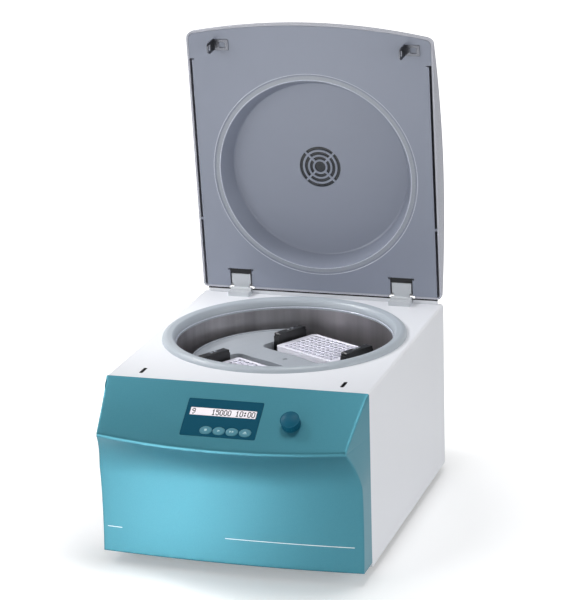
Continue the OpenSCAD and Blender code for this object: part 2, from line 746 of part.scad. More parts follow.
module trunnion_pins() {
  color("silver") on_rotor() both_sides() for (y = [-1, 1])
    translate([hanger_in + 2, y * swing_radius, swing_z]) rotate([0, 90, 0])
      cylinder(r = trunnion_radius, h = pocket_half + 19 - hanger_in - 2);
}

// Tray frame: the way out along the rotor is +Y and the plate's middle is at y = 0
module at_tray(turn) { on_rotor() rotate([0, 0, turn]) translate([0, swing_radius, 0]) children(); }

module tray(turn) {
  w = plate_length + 2 * tray_clearance;
  d = plate_width + 2 * tray_clearance;
  rim = 1.6;
  color("silver") at_tray(turn) difference() {
    union() {
      translate([0, 0, tray_top - tray_thickness])
        rounded_block(w + 2 * rim, d + 2 * rim, tray_thickness + 3, 3);
      translate([0, 0, tray_top - tray_thickness])
        rounded_block(2 * hanger_out, hanger_length, tray_thickness, 3);
    }
    translate([0, 0, tray_top]) rounded_block(w, d, 10, 1.6);
  }
}
module tray_1() { tray(0); }
module tray_2() { tray(180); }

module hangers(turn) {
  h = hanger_length / 2;
  color("black") at_tray(turn) both_sides() difference() {
    translate([hanger_in, 0, 0]) rotate([90, 0, 90]) linear_extrude(hanger_thickness) polygon([
      [-h, tray_top + seat], [h, tray_top + seat], [h, hanger_top - 5], [h - 1.5, hanger_top - 5],
      [h - 1.5, hanger_top - 1], [h - 2.5, hanger_top], [2.5 - h, hanger_top], [1.5 - h, hanger_top - 1],
      [1.5 - h, hanger_top - 5], [-h, hanger_top - 5]]);
    translate([hanger_in - cut, 0, swing_z]) rotate([0, 90, 0])
      cylinder(r = trunnion_radius + running, h = hanger_thickness + 2 * cut);
    for (y = [-4, 4]) translate([hanger_in + hanger_thickness / 2, y, hanger_top - 9])
      cylinder(r = screw_radius + seat, h = 10);
  }
}
module hangers_1() { hangers(0); }
module hangers_2() { hangers(180); }

module hanger_screws(turn) {
  color("gainsboro") at_tray(turn) both_sides() for (y = [-4, 4])
    translate([hanger_in + hanger_thickness / 2, y, hanger_top]) {
      translate([0, 0, -8]) cylinder(r = screw_radius, h = 8 + seat);
      translate([0, 0, seat]) difference() {
        cylinder(r = 2.6, h = 1.4);
        translate([0, 0, 0.6]) cylinder(r = 1.2, h = 2, $fn = 6);
      }
    }
}
module hanger_screws_1() { hanger_screws(0); }
module hanger_screws_2() { hanger_screws(180); }

module microplate(turn) {
  base = tray_top + seat;
  color("ghostwhite") at_tray(turn) difference() {
    union() {
      translate([0, 0, base]) rounded_block(plate_length, plate_width, 2.5, 3);
      translate([0, 0, base]) rounded_block(plate_length - 3.2, plate_width - 3.2, plate_height, 4);
    }
    translate([0, 0, base + plate_height - 0.6])
      ring_frame(plate_length - 5.6, plate_width - 5.6, 11.5 * well_pitch + 2 * well_radius - 3);
    for (i = [0:11], j = [0:7])
      translate([(i - 5.5) * well_pitch, (j - 3.5) * well_pitch, base + plate_height - well_depth])
        cylinder(r = well_radius, h = well_depth + cut, $fn = 32);
    // Cut corner that tells one end of the plate from the other
    translate([-plate_length / 2, plate_width / 2, base + 2.5]) rotate([0, 0, 45])
      translate([-4, -4, 0]) cube([8, 8, plate_height]);
  }
}
// Shallow step between the well field and the plate's edge
module ring_frame(w, d, field) {
  difference() {
    rounded_block(w, d, 2, 3);
    translate([0, 0, -cut]) rounded_block(field + 1, 7.5 * well_pitch + 2 * well_radius - 2, 2 + 2 * cut, 2);
  }
}
module microplate_1() { microplate(0); }
module microplate_2() { microplate(180); }

// Electronics, fan, inlet and switch
drive_size = [62, 60, 130];
fin_reach = 26;
fin_pitch = 7;
module drive_electronics() {
  x0 = 4 + gap - inner_half;
  y0 = 2 + housing_wall - deck_front;
  color("dimgray") place() {
    box(x0, x0 + drive_size[0], y0, y0 + drive_size[1], base_top + seat, base_top + 6);
    box(x0 + 4, x0 + 10, y0 + 2, y0 + drive_size[1] - 2, base_top + 5, base_top + drive_size[2]);
    for (y = [3:fin_pitch:drive_size[1] - 7]) box(x0 + 9, x0 + 10 + fin_reach, y0 + y, y0 + y + 2,
      base_top + 5, base_top + drive_size[2] - 10);
  }
}

fan_pin = 2;
spoke_thickness = 2.4;
wheel_height = fan_depth - 6;
module fan_frame() {
  color("black") place() translate([fan_x, rear_inside - seat, fan_z]) rotate([90, 0, 0]) {
    difference() {
      rounded_block(fan_size, fan_size, fan_depth, 5);
      translate([0, 0, -cut]) cylinder(r = fan_size / 2 - 2, h = fan_depth + 2 * cut);
      for (x = [-1, 1], y = [-1, 1]) translate([x * fan_screw, y * fan_screw, -cut])
        cylinder(r = screw_radius + 0.1, h = fan_depth + 2 * cut);
    }
    // Hub seat on four spokes, with the pin that carries the wheel
    translate([0, 0, fan_depth - spoke_thickness - 0.4]) {
      cylinder(r = 12, h = spoke_thickness);
      for (a = [45:90:315]) rotate([0, 0, a]) translate([10, -1.5, 0])
        cube([fan_size / 2 - 11, 3, spoke_thickness]);
      translate([0, 0, 2 - wheel_height]) cylinder(r = fan_pin, h = wheel_height);
    }
  }
}

module fan_wheel() {
  hub = 14;
  color("dimgray") place()
    translate([fan_x, rear_inside - seat - fan_depth + spoke_thickness + 0.4 + gap, fan_z])
    rotate([-90, 0, 0]) difference() {
      union() {
        cylinder(r = hub, h = wheel_height);
        intersection() {
          cylinder(r = fan_size / 2 - 3.5, h = wheel_height);
          for (a = [0:7]) rotate([0, 0, a * 360 / 8]) translate([hub - 2, 0, wheel_height / 2])
            rotate([38, 0, 0]) translate([0, -12, -0.8]) cube([fan_size, 24, 1.6]);
        }
      }
      translate([0, 0, -cut]) cylinder(r = fan_pin + running, h = wheel_height - 2 + cut);
    }
}

inlet_flange = 2.5;
inlet_cavity = [24.4, 16.8, 20];
module power_inlet() {
  color("black") place() translate([inlet_x, deck_rear, inlet_z]) rotate([90, 0, 0]) difference() {
    union() {
      translate([0, 0, -inlet_flange]) rounded_block(50, 24, inlet_flange - seat, 5);
      translate([0, 0, -cut]) rounded_block(28.4, 21.4, 26, 2);
    }
    translate([0, 0, -inlet_flange - cut])
      rounded_block(inlet_cavity[0], inlet_cavity[1], inlet_cavity[2] + inlet_flange + cut, 1.5);
    for (x = [-1, 1]) translate([x * inlet_screw, 0, -inlet_flange - cut])
      cylinder(r = screw_radius + 0.1, h = 8);
  }
  // Three contact blades
  color("gold") place() for (p = [[-7, -1.5], [0, 2.5], [7, -1.5]])
    translate([inlet_x + p[0] - 1, deck_rear - inlet_cavity[2] - cut, inlet_z + p[1] - 2])
      cube([2, 15 + cut, 4]);
}

rocker_tilt = 8;
rocker_depth = 3;
rocker_pin = 1;
module switch_frame() {
  color("black") place() translate([inlet_x, deck_rear, switch_z]) rotate([90, 0, 0]) difference() {
    union() {
      translate([0, 0, -2]) rounded_block(32, 24, 2 - seat, 2);
      translate([0, 0, -cut]) rounded_block(27.4, 19.4, 20, 1);
    }
    translate([0, 0, -3]) rounded_block(22, 14, 16, 0.5);
    // Bore for the rocker's pin
    translate([0, 0, rocker_depth]) rotate([90, 0, 0]) translate([0, 0, -9])
      cylinder(r = rocker_pin + seat, h = 18);
  }
  color("black") place() translate([inlet_x, deck_rear - rocker_depth, switch_z - 9])
    cylinder(r = rocker_pin, h = 18);
}

module switch_rocker() {
  color("firebrick") place() translate([inlet_x, deck_rear - rocker_depth, switch_z])
    rotate([0, 0, rocker_tilt]) difference() {
      translate([0, 0, -6.6]) linear_extrude(13.2) polygon([
        [-10, 2.5], [-10, 5.2], [0, 3.6], [10, 5.2], [10, 2.5], [4, -4], [-4, -4]]);
      translate([0, 0, -8]) cylinder(r = rocker_pin + running, h = 16);
    }
}

// Lid lock under the deck: a bolt slides sideways through the window of each striker
bolt_height = 6;
bolt_width = 8;
bolt_length = 12;
bolt_travel = 8;
bolt_z = hinge_z + hinge_rise - striker_length + 8;
bolt_start = striker_x - slot_width / 2 - gap - bolt_length;

module lock_unit() {
  difference() {
    union() {
      box(bolt_start - 4, striker_x + 12, slot_y - 15, slot_y + 15, bolt_z - 12, deck_under - seat);
      // Small motor that drives the bolt
      translate([bolt_start - 2, slot_y, bolt_z - 20]) cylinder(r = 9, h = 12);
    }
    translate([striker_x, slot_y, bolt_z - 9]) rounded_block(slot_width, slot_length, 60, 1);
    box(bolt_start - gap, striker_x + 8, slot_y - bolt_width / 2 - gap, slot_y + bolt_width / 2 + gap,
      bolt_z - bolt_height / 2 - gap, bolt_z + bolt_height / 2 + gap);
  }
}
module lock_bolt() {
  box(bolt_start, bolt_start + bolt_length, slot_y - bolt_width / 2, slot_y + bolt_width / 2,
    bolt_z - bolt_height / 2, bolt_z + bolt_height / 2);
}
module lock_unit_right() { color("gray") place() lock_unit(); }
module lock_unit_left() { color("gray") place() mirror([1, 0, 0]) lock_unit(); }
module lock_bolt_right() { color("silver") place() lock_bolt(); }
module lock_bolt_left() { color("silver") place() mirror([1, 0, 0]) lock_bolt(); }

// Hinges: a block on the deck, a leaf on the lid and a pin through both
block_half = leaf_width / 2 + 1.5;
knuckle_half = block_half - 4.3;
knuckle_radius = hinge_pin_radius + 2;
block_top = hinge_z + hinge_rise - 1;
module hinge_block() {
  translate([hinge_x, 0, 0]) difference() {
    union() {
      box(-block_half, block_half, hinge_y - 17.5, deck_rear, deck_height + seat, block_top);
      translate([-block_half, hinge_y, hinge_z]) rotate([0, 90, 0])
        cylinder(r = knuckle_radius, h = 2 * block_half);
    }
    box(-knuckle_half - gap, knuckle_half + gap, hinge_y - knuckle_radius - 1, deck_rear + cut,
      hinge_z - knuckle_radius - 0.5, deck_height + 30);
    translate([-block_half - cut, hinge_y, hinge_z]) rotate([0, 90, 0])
      cylinder(r = hinge_pin_radius + seat, h = 2 * block_half + 2 * cut);
  }
}
module hinge_block_right() { color("lightgray") place() hinge_block(); }
module hinge_block_left() { color("lightgray") place() mirror([1, 0, 0]) hinge_block(); }

module hinge_pins() {
  color("silver") place() both_sides() translate([hinge_x - block_half, hinge_y, hinge_z]) rotate([0, 90, 0])
    cylinder(r = hinge_pin_radius, h = 2 * block_half);
}

leaf_tall = 24;
module hinge_leaf() {
  translate([hinge_x, 0, 0]) difference() {
    union() {
      translate([-knuckle_half, hinge_setback, -hinge_rise]) rotate([0, 90, 0])
        cylinder(r = knuckle_radius, h = 2 * knuckle_half);
      box(-knuckle_half, knuckle_half, -8, hinge_setback, 0, 2.8);
      box(-leaf_width / 2, leaf_width / 2, -leaf_tall, -7, 0, 3);
      box(-leaf_width / 2, leaf_width / 2, -leaf_tall - 32, -15, lid_plate + seat, lid_plate + 3);
    }
    translate([-block_half, hinge_setback, -hinge_rise]) rotate([0, 90, 0])
      cylinder(r = hinge_pin_radius + running, h = 2 * block_half);
  }
}
module hinge_leaf_right() { color("silver") on_lid() hinge_leaf(); }
module hinge_leaf_left() { color("silver") on_lid() mirror([1, 0, 0]) hinge_leaf(); }

// Lid outline, set in by w: distance of its front and rear edge from the rear line, at x
function corner_s(w) = let (x = lid_half - lid_corner)
  lid_apex - lid_bow_radius + sqrt(pow(lid_bow_radius - lid_corner, 2) - x * x);
function front_edge(x, w) = let (c = lid_half - lid_corner, r = lid_corner - w, a = abs(x))
  a > c + r * sin(atan(c / lid_bow_radius))
  ? corner_s(w) + sqrt(max(0, r * r - pow(a - c, 2)))
  : lid_apex - lid_bow_radius + sqrt(pow(lid_bow_radius - w, 2) - x * x);
rear_corner = 6;
function rear_edge(x, w) = let (c = lid_half - rear_corner, r = rear_corner - w, a = abs(x))
  a > c ? rear_corner - sqrt(max(0, r * r - pow(a - c, 2))) : w;

shell_columns = 14;
shell_rows = 18;
edge_round = 9;
function shell_point(i, j, w) = let (
    x = (lid_half - w) * sin(90 * i / shell_columns),
    front = front_edge(x, w), rear = rear_edge(x, w),
    s = rear + (front - rear) * (1 - cos(180 * j / shell_rows)) / 2,
    e = min(lid_half - w - abs(x), front - s, s - rear))
  [x, -s, shell_height(x, s) - w - edge_drop(e, edge_round - w)];
// The domed shell as one skin: outer face, outer wall, lower rim, inner wall, inner face
module shell_skin() {
  m = 2 * shell_columns + 1;
  n = shell_rows + 1;
  count = m * n;
  top = function(w) [for (i = [-shell_columns:shell_columns], j = [0:shell_rows]) shell_point(i, j, w)];
  outer = top(0);
  inner = top(shell_wall);
  rim = concat([for (i = [0:m - 1]) i * n], [for (j = [1:n - 1]) (m - 1) * n + j],
    [for (i = [m - 2:-1:0]) i * n + n - 1], [for (j = [n - 2:-1:1]) j]);
  c = len(rim);
  low_outer = [for (k = [0:c - 1]) 2 * count + k];
  low_inner = [for (k = [0:c - 1]) 2 * count + c + k];
  inner_rim = [for (k = rim) count + k];
  foot = function(p) [for (k = rim) [p[k][0], p[k][1], 0]];
  polyhedron(
    concat(outer, inner, foot(outer), foot(inner)),
    concat(grid_faces(0, m, n), strip_faces(rim, low_outer, true), strip_faces(low_outer, low_inner, true),
      strip_faces(low_inner, inner_rim, true), flip(grid_faces(count, m, n))));
}

sight_radius = 14;
window_height = 3;
window_radius = 40;
cutout_half = block_half + 1;
module lid_shell() {
  color("white") on_lid() difference() {
    shell_skin();
    translate([0, -dish_s, 0]) cylinder(r = sight_radius, h = 100);
    // Room for the hinges in the rear wall
    both_sides() box(hinge_x - cutout_half - 3, hinge_x + cutout_half + 3, -shell_wall - 4, cut, -cut, 9);
  }
}

panel_inset = shell_wall + gap;
side_gap = 4;
bridge_s = 114;
bridge_width = 4;
gap_top = lid_apex - 60;
module lid_outline(w) {
  steps = shell_columns;
  polygon(concat(
    [for (k = [-steps:steps]) let (x = (lid_half - w) * sin(90 * k / steps)) [x, -front_edge(x, w)]],
    [for (k = [steps:-1:-steps]) let (x = (lid_half - w) * sin(90 * k / steps)) [x, -rear_edge(x, w)]]));
}
module lid_panel() {
  color("lightslategray") on_lid() difference() {
    linear_extrude(lid_plate) lid_outline(panel_inset);
    translate([0, -dish_s, -cut]) cylinder(r = dish_radius + gap, h = 10);
    both_sides() {
      // Long side gap with a small bridge and a notch at its top end
      edge = lid_half - shell_wall;
      box(edge - side_gap, edge + cut, -bridge_s, cut, -cut, 10);
      box(edge - side_gap, edge + cut, -gap_top, -bridge_s - bridge_width, -cut, 10);
      box(edge - side_gap - 4, edge, -gap_top, -gap_top + 2, -cut, 10);
      // Hinge cutout with a wider slit along its top
      box(hinge_x - cutout_half, hinge_x + cutout_half, -leaf_tall - 8, 2 * cut, -cut, 10);
      box(hinge_x - cutout_half - 3, hinge_x + cutout_half + 3, -leaf_tall - 9, -leaf_tall - 6, -cut, 10);
    }
  }
}

seal_outer = dish_radius - 1.6;
seal_inner = seal_outer - 6;
module lid_dish() {
  back = lid_plate + seat;
  color("slategray") on_lid() translate([0, -dish_s, 0]) difference() {
    rotate_extrude($fn = 120) polygon([
      [0, dish_depth], [dish_floor_radius - 2, dish_depth], [dish_floor_radius, dish_depth - 1],
      [seal_inner - 2, 0], [seal_inner, 0], [seal_inner, 3.4], [seal_outer, 3.4], [seal_outer, 0],
      [dish_radius, 0], [dish_radius, back], [dish_radius + 6, back], [dish_radius + 6, back + dish_wall],
      [dish_radius - 1, back + dish_wall + 1.5], [seal_inner + 1, 3.4 + dish_wall],
      [dish_floor_radius + 2, dish_depth + dish_wall - 2], [dish_floor_radius, dish_depth + dish_wall],
      [0, dish_depth + dish_wall]]);
    translate([0, -4, dish_depth - cut]) {
      cylinder(r = 9, h = 10);
      ring_slots([17, 25, 33.3], 5.2, 3, 10);
    }
  }
}

module lid_seal() {
  color("darkslategray") on_lid() translate([0, -dish_s, 0.3])
    ring(seal_outer - gap / 2, seal_inner + gap / 2, 3.1 - seat);
}

window_z = dish_depth + dish_wall + seat;
module lid_window() {
  color("lightcyan") on_lid() translate([0, -dish_s - 4, window_z]) cylinder(r = window_radius, h = window_height);
}

module sight_lens() {
  under = shell_height(0, dish_s) - shell_wall;
  color("azure") on_lid() translate([0, -dish_s, 0]) {
    // Clear tube from the window up to the port in the shell
    translate([0, 0, window_z + window_height + seat])
      ring(sight_radius + 4, sight_radius - 2, under - window_z - window_height - 1.2);
    translate([0, 0, under - 4]) cylinder(r = sight_radius - gap, h = shell_wall + 3);
  }
}

module striker() {
  t = striker_thickness / 2;
  w = striker_width / 2;
  window_z0 = -striker_length + 8 - bolt_height / 2 - 1;
  translate([0, -striker_s, 0]) difference() {
    rotate([90, 0, 90]) translate([0, 0, -t]) linear_extrude(2 * t) polygon([
      [-w, 0], [-w, 4 - striker_length], [3 - w, -striker_length], [w - 5, -striker_length],
      [w, 9 - striker_length], [w, 0]]);
    box(-2, 2, -bolt_width / 2 - 1, bolt_width / 2 + 1, window_z0, window_z0 + bolt_height + 2);
  }
  // Foot plate with a square window, screwed to the panel
  translate([t, -striker_s, -1.5]) difference() {
    translate([-t, -8.5, 0]) cube([24, 17, 1.5 - seat]);
    translate([8, -4.5, -cut]) cube([10, 9, 4]);
  }
}
module striker_right() { color("silver") on_lid() translate([striker_x, 0, 0]) striker(); }
module striker_left() { color("silver") on_lid() translate([-striker_x, 0, 0]) striker(); }

// How far back and forward the whole object reaches, which sets the origin
lid_reach_back = max([for (j = [0:shell_rows]) let (p = shell_point(0, j, 0))
  hinge_y + (p[1] - hinge_setback) * cos(lid_open) + (hinge_rise + p[2]) * sin(lid_open)]);
ridge_reach = max([for (p = side_profile(0)) p[0]]);
middle_shift = (deck_front + ridge_reach - lid_reach_back) / 2;

foot_pads();
base_plate();
housing();
housing_screws();
front_panel();
control_foil();
display_module();
key_1();
key_2();
key_3();
key_4();
control_board();
encoder();
control_knob();
chamber_bowl();
bowl_collar();
guard_ring();
motor_plate();
motor_mounts();
motor_can();
motor_stator();
motor_bearings();
shaft_boot();
drive_electronics();
fan_frame();
fan_wheel();
power_inlet();
switch_frame();
switch_rocker();
lock_unit_left();
lock_unit_right();
lock_bolt_left();
lock_bolt_right();
hinge_block_left();
hinge_block_right();
hinge_pins();
lid_shell();
lid_panel();
lid_dish();
lid_seal();
lid_window();
sight_lens();
striker_left();
striker_right();
hinge_leaf_left();
hinge_leaf_right();
motor_shaft();
motor_core();
rotor_body();
rotor_nut();
trunnion_pins();
tray_1();
tray_2();
hangers_1();
hangers_2();
hanger_screws_1();
hanger_screws_2();
microplate_1();
microplate_2();
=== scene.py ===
# %% [markdown]
# # A microplate centrifuge, dressed in Blender
#
# This bench centrifuge spins two 96-well plates in a steel chamber. Its solid parts come from
# a CAD model, which is loaded here as a fixed frame: every part already has its true size and
# place, in metres. The lesson is how to give such a frame its looks: smooth skins where the CAD
# is coarse, small repeated detail, and materials that read as paint, steel, rubber and glass.

# %% Load the frame
import json
import math

import bmesh
import bpy
import numpy as np
from mathutils import Matrix, Vector


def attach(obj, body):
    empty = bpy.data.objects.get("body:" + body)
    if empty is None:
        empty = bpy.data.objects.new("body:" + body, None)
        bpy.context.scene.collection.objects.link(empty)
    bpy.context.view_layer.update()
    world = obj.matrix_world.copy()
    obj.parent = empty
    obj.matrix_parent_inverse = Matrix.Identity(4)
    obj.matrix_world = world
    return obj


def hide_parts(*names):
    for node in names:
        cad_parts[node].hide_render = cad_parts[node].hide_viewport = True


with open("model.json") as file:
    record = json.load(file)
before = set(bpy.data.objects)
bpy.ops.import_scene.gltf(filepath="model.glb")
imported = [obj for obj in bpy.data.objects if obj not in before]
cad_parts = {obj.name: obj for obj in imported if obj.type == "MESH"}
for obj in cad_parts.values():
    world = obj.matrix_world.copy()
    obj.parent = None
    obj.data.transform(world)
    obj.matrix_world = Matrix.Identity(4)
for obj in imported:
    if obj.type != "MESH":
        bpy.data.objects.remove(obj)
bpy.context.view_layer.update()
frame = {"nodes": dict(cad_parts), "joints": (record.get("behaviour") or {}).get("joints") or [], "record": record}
nodes = frame["nodes"]
MM = 0.001
joints = {j["name"]: j for j in frame["joints"]}

# %% [markdown]
# The parts sit in four slanted or turned places: the control slope, the open lid, the rotor and
# its two trays. A matrix for each lets a piece be made lying flat, in millimetres, and then set
# in its real place. The hinge and the knob give these places, so the numbers follow the CAD.

# %% Places
DECK = 0.275
SLOPE_ANGLE = math.radians(36.8)
knob_axis = Vector(joints["knob_turn"]["axis"])
knob_base = Vector(joints["knob_turn"]["pos_m"])
hinge = Vector(joints["lid_hinge"]["pos_m"])
lid_angle = math.radians(joints["lid_hinge"]["range_deg"][1])
axle = Vector(joints["rotor_spin"]["pos_m"])

slope_up = Vector((0, math.cos(SLOPE_ANGLE), math.sin(SLOPE_ANGLE)))
deck_front = knob_base + slope_up * 61 * MM
deck_front.x = 0
ON_SLOPE = Matrix.Translation(deck_front) @ Matrix.Rotation(SLOPE_ANGLE, 4, "X") @ Matrix.Scale(MM, 4)
ON_LID = (Matrix.Translation(hinge) @ Matrix.Rotation(-lid_angle, 4, "X")
          @ Matrix.Translation((0, -2.05 * MM, 1.7 * MM)) @ Matrix.Scale(MM, 4))
ON_ROTOR = (Matrix.Translation((axle.x, axle.y, 0)) @ Matrix.Rotation(math.radians(-30), 4, "Z")
            @ Matrix.Scale(MM, 4))
ON_TRAY = {1: ON_ROTOR @ Matrix.Translation((0, 80, 0)),
           2: ON_ROTOR @ Matrix.Rotation(math.pi, 4, "Z") @ Matrix.Translation((0, 80, 0))}
ON_DECK = Matrix.Translation((0, deck_front.y, 0)) @ Matrix.Scale(MM, 4)
AT_BOWL = Matrix.Translation((axle.x, axle.y, 0)) @ Matrix.Scale(MM, 4)
print("deck's front edge at", [round(v, 5) for v in deck_front])

# %% [markdown]
# A material is a small tree of nodes. One function adds a node, sets its settings and links its
# inputs. Colours are picked as sRGB hex values, as a paint chart gives them, and turned to the
# linear values that light is computed with.

# %% Node and colour helpers
def linear(code, alpha=1.0):
    values = [int(code[i:i + 2], 16) / 255 for i in (0, 2, 4)]
    return [v / 12.92 if v <= 0.04045 else ((v + 0.055) / 1.055) ** 2.4 for v in values] + [alpha]


def add(tree, kind, inputs=None, **settings):
    node = tree.nodes.new(kind)
    for name, value in settings.items():
        setattr(node, name, value)
    for key, value in (inputs or {}).items():
        if isinstance(value, bpy.types.NodeSocket):
            tree.links.new(value, node.inputs[key])
        else:
            node.inputs[key].default_value = value
    return node


def new_material(name, **values):
    material = bpy.data.materials.new(name)
    material.use_nodes = True
    tree = material.node_tree
    tree.nodes.clear()
    shader = add(tree, "ShaderNodeBsdfPrincipled",
                 {key.replace("_", " "): value for key, value in values.items()})
    add(tree, "ShaderNodeOutputMaterial", {"Surface": shader.outputs[0]})
    return material, tree, shader


def place_of(tree, scale=(1, 1, 1), turn=(0, 0, 0), centre=(0, 0, 0)):
    """Object coordinates, in metres, moved to a centre, turned and stretched."""
    coords = add(tree, "ShaderNodeTexCoord").outputs["Object"]
    moved = add(tree, "ShaderNodeVectorMath", {0: coords, 1: centre}, operation="SUBTRACT").outputs[0]
    return add(tree, "ShaderNodeMapping", {"Vector": moved, "Rotation": turn, "Scale": scale}).outputs[0]


def vary(tree, shader, socket, place, grain, low, high, colour=False, detail=3.0):
    """A soft noise of a real grain size that moves one socket between two values."""
    noise = add(tree, "ShaderNodeTexNoise", {"Vector": place, "Scale": 1 / grain, "Detail": detail})
    if colour:
        mix = add(tree, "ShaderNodeMix", {0: noise.outputs["Fac"], 6: low, 7: high}, data_type="RGBA")
        tree.links.new(mix.outputs[2], shader.inputs[socket])
    else:
        span = add(tree, "ShaderNodeMapRange", {"Value": noise.outputs["Fac"], "From Min": 0.3,
                   "From Max": 0.7, "To Min": low, "To Max": high})
        tree.links.new(span.outputs[0], shader.inputs[socket])
    return noise.outputs["Fac"]


def relief(tree, shader, height, depth, strength=1.0, socket="Normal"):
    """Bumps of a real depth, in metres, from a field that runs from 0 to 1."""
    bump = add(tree, "ShaderNodeBump", {"Height": height, "Distance": depth, "Strength": strength})
    tree.links.new(bump.outputs[0], shader.inputs[socket])


print("black", linear("000000"), "mid grey", [round(v, 3) for v in linear("808080")])

# %% [markdown]
# The camera stands where the photographer stood: a little to the right of the front, some 17
# degrees above the bench and far away, with a long lens. A camera that is rolled by two degrees
# needs its own matrix, built from the three directions that the picture's edges have in space.

# %% Camera
def set_camera(place, azimuth, elevation, roll, lens, shift):
    a, e, r = (math.radians(v) for v in (azimuth, elevation, roll))
    back = Vector((math.sin(a) * math.cos(e), -math.cos(a) * math.cos(e), math.sin(e)))
    level = Vector((math.cos(a), math.sin(a), 0))
    up = back.cross(level)
    right = math.cos(r) * level + math.sin(r) * up
    top = math.cos(r) * up - math.sin(r) * level
    data = bpy.data.cameras.new("camera")
    data.lens, data.sensor_width = lens, 36
    data.shift_x, data.shift_y = shift
    data.clip_start, data.clip_end = 0.5, 40
    camera = bpy.data.objects.new("camera", data)
    bpy.context.scene.collection.objects.link(camera)
    camera.matrix_world = Matrix.Translation(place) @ Matrix(
        [(right[i], top[i], back[i], 0) for i in range(3)] + [(0, 0, 0, 1)])
    bpy.context.scene.camera = camera
    return camera


camera = set_camera((1.10111, -3.4464, 1.42591), 17.94, 16.91, -1.78, 152.07, (0.0311, 0.0193))
print("camera", round((camera.location - Vector((0, 0, 0.3))).length, 2), "m from the object")

# %% [markdown]
# The light is a photographer's white room: a soft box above, a large one at the left, a weaker
# one at the right, a small one low in front, which makes the bowed face glow, one that lights the
# floor before it, and a narrow one that shines into the chamber. The room's walls are white and
# its ceiling is grey, so a face that looks up mirrors grey and one that looks forward mirrors
# white. The floor is white as well, and glows more with distance for the camera alone, so only
# the object's own shadow stays on it.

# %% Light, room and floor
def soft_box(name, place, aim, size, power, spread=180):
    data = bpy.data.lights.new(name, "AREA")
    data.shape, data.size, data.size_y, data.energy = "RECTANGLE", size[0], size[1], power
    data.spread = math.radians(spread)
    lamp = bpy.data.objects.new(name, data)
    lamp.visible_camera = False
    bpy.context.scene.collection.objects.link(lamp)
    lamp.location = place
    lamp.rotation_euler = (Vector(aim) - Vector(place)).to_track_quat("-Z", "Y").to_euler()


scene = bpy.context.scene
scene.view_settings.view_transform = "Standard"
soft_box("box_above", (0.3, 0.0, 2.5), (0, 0, 0.25), (0.9, 0.7), 17)
soft_box("box_left", (-2.1, -2.3, 0.9), (0, 0, 0.2), (1.2, 1.4), 17)
soft_box("box_right", (2.7, -0.4, 1.0), (0, 0, 0.3), (1.0, 1.4), 15)
soft_box("box_low", (-0.42, -1.15, 0.12), (-0.06, -0.2, 0.1), (0.45, 0.3), 2.2)
soft_box("box_floor", (-0.18, -0.48, 0.35), (-0.18, -0.48, 0), (0.26, 0.16), 0.55, 66)
soft_box("box_chamber", (-0.95, 0.05, 1.2), (0.05, 0.06, 0.2), (0.3, 0.3), 0.8, 40)
room = bpy.data.worlds.new("white_room")
room.use_nodes = True
tree = room.node_tree
tree.nodes.clear()
way = add(tree, "ShaderNodeTexCoord").outputs["Generated"]
height = add(tree, "ShaderNodeSeparateXYZ", {0: way}).outputs[2]
ceiling = add(tree, "ShaderNodeMapRange", {"Value": height, "From Min": 0.1, "From Max": 0.6,
              "To Min": 0.95, "To Max": 0.2}).outputs[0]
in_view = add(tree, "ShaderNodeLightPath").outputs["Is Camera Ray"]
strength = add(tree, "ShaderNodeMath", {0: ceiling, 1: in_view}, operation="MAXIMUM").outputs[0]
sky = add(tree, "ShaderNodeBackground", {"Color": (1, 1, 1, 1), "Strength": strength})
add(tree, "ShaderNodeOutputWorld", {"Surface": sky.outputs[0]})
scene.world = room

floor_mesh = bpy.data.meshes.new("floor")
floor_mesh.from_pydata([(-30, -30, 0), (30, -30, 0), (30, 30, 0), (-30, 30, 0)], [], [(0, 1, 2, 3)])
floor = bpy.data.objects.new("floor", floor_mesh)
scene.collection.objects.link(floor)
white_floor, tree, shader = new_material("white_floor_paint", Base_Color=linear("f4f5f6"), Roughness=0.7)
away = add(tree, "ShaderNodeVectorMath", {0: add(tree, "ShaderNodeTexCoord").outputs["Object"]},
           operation="LENGTH").outputs["Value"]
extra = add(tree, "ShaderNodeMapRange", {"Value": away, "From Min": 0.3, "From Max": 0.75,
            "To Min": 0.25, "To Max": 1.0}).outputs[0]
in_view = add(tree, "ShaderNodeLightPath").outputs["Is Camera Ray"]
glow = add(tree, "ShaderNodeMath", {0: in_view, 1: extra}, operation="MULTIPLY").outputs[0]
shader.inputs["Emission Color"].default_value = (1, 1, 1, 1)
tree.links.new(glow, shader.inputs["Emission Strength"])
floor_mesh.materials.append(white_floor)
print(len(bpy.data.lights), "lamps")

# %% [markdown]
# ## Finishes of the housing
#
# The sheet housing is powder coated: a baked paint that lies a little bumpy, like the skin of an
# orange, with grains of about a millimetre. It takes the gloss off and blurs reflections.

# %% Powder coat, hinge paint and plain metals
def powder_coat(name, code, roughness):
    material, tree, shader = new_material(name, Base_Color=linear(code), Roughness=roughness)
    place = place_of(tree)
    grain = vary(tree, shader, "Roughness", place, 1.1 * MM, roughness - 0.04, roughness + 0.06)
    relief(tree, shader, grain, 0.02 * MM)
    return material


def bare_metal(name, code, roughness, grain=2 * MM, stretch=(1, 1, 1), depth=0.01 * MM):
    material, tree, shader = new_material(name, Base_Color=linear(code), Metallic=1.0,
                                          Roughness=roughness)
    place = place_of(tree, stretch)
    field = vary(tree, shader, "Roughness", place, grain, roughness - 0.08, roughness + 0.1)
    relief(tree, shader, field, depth)
    return material


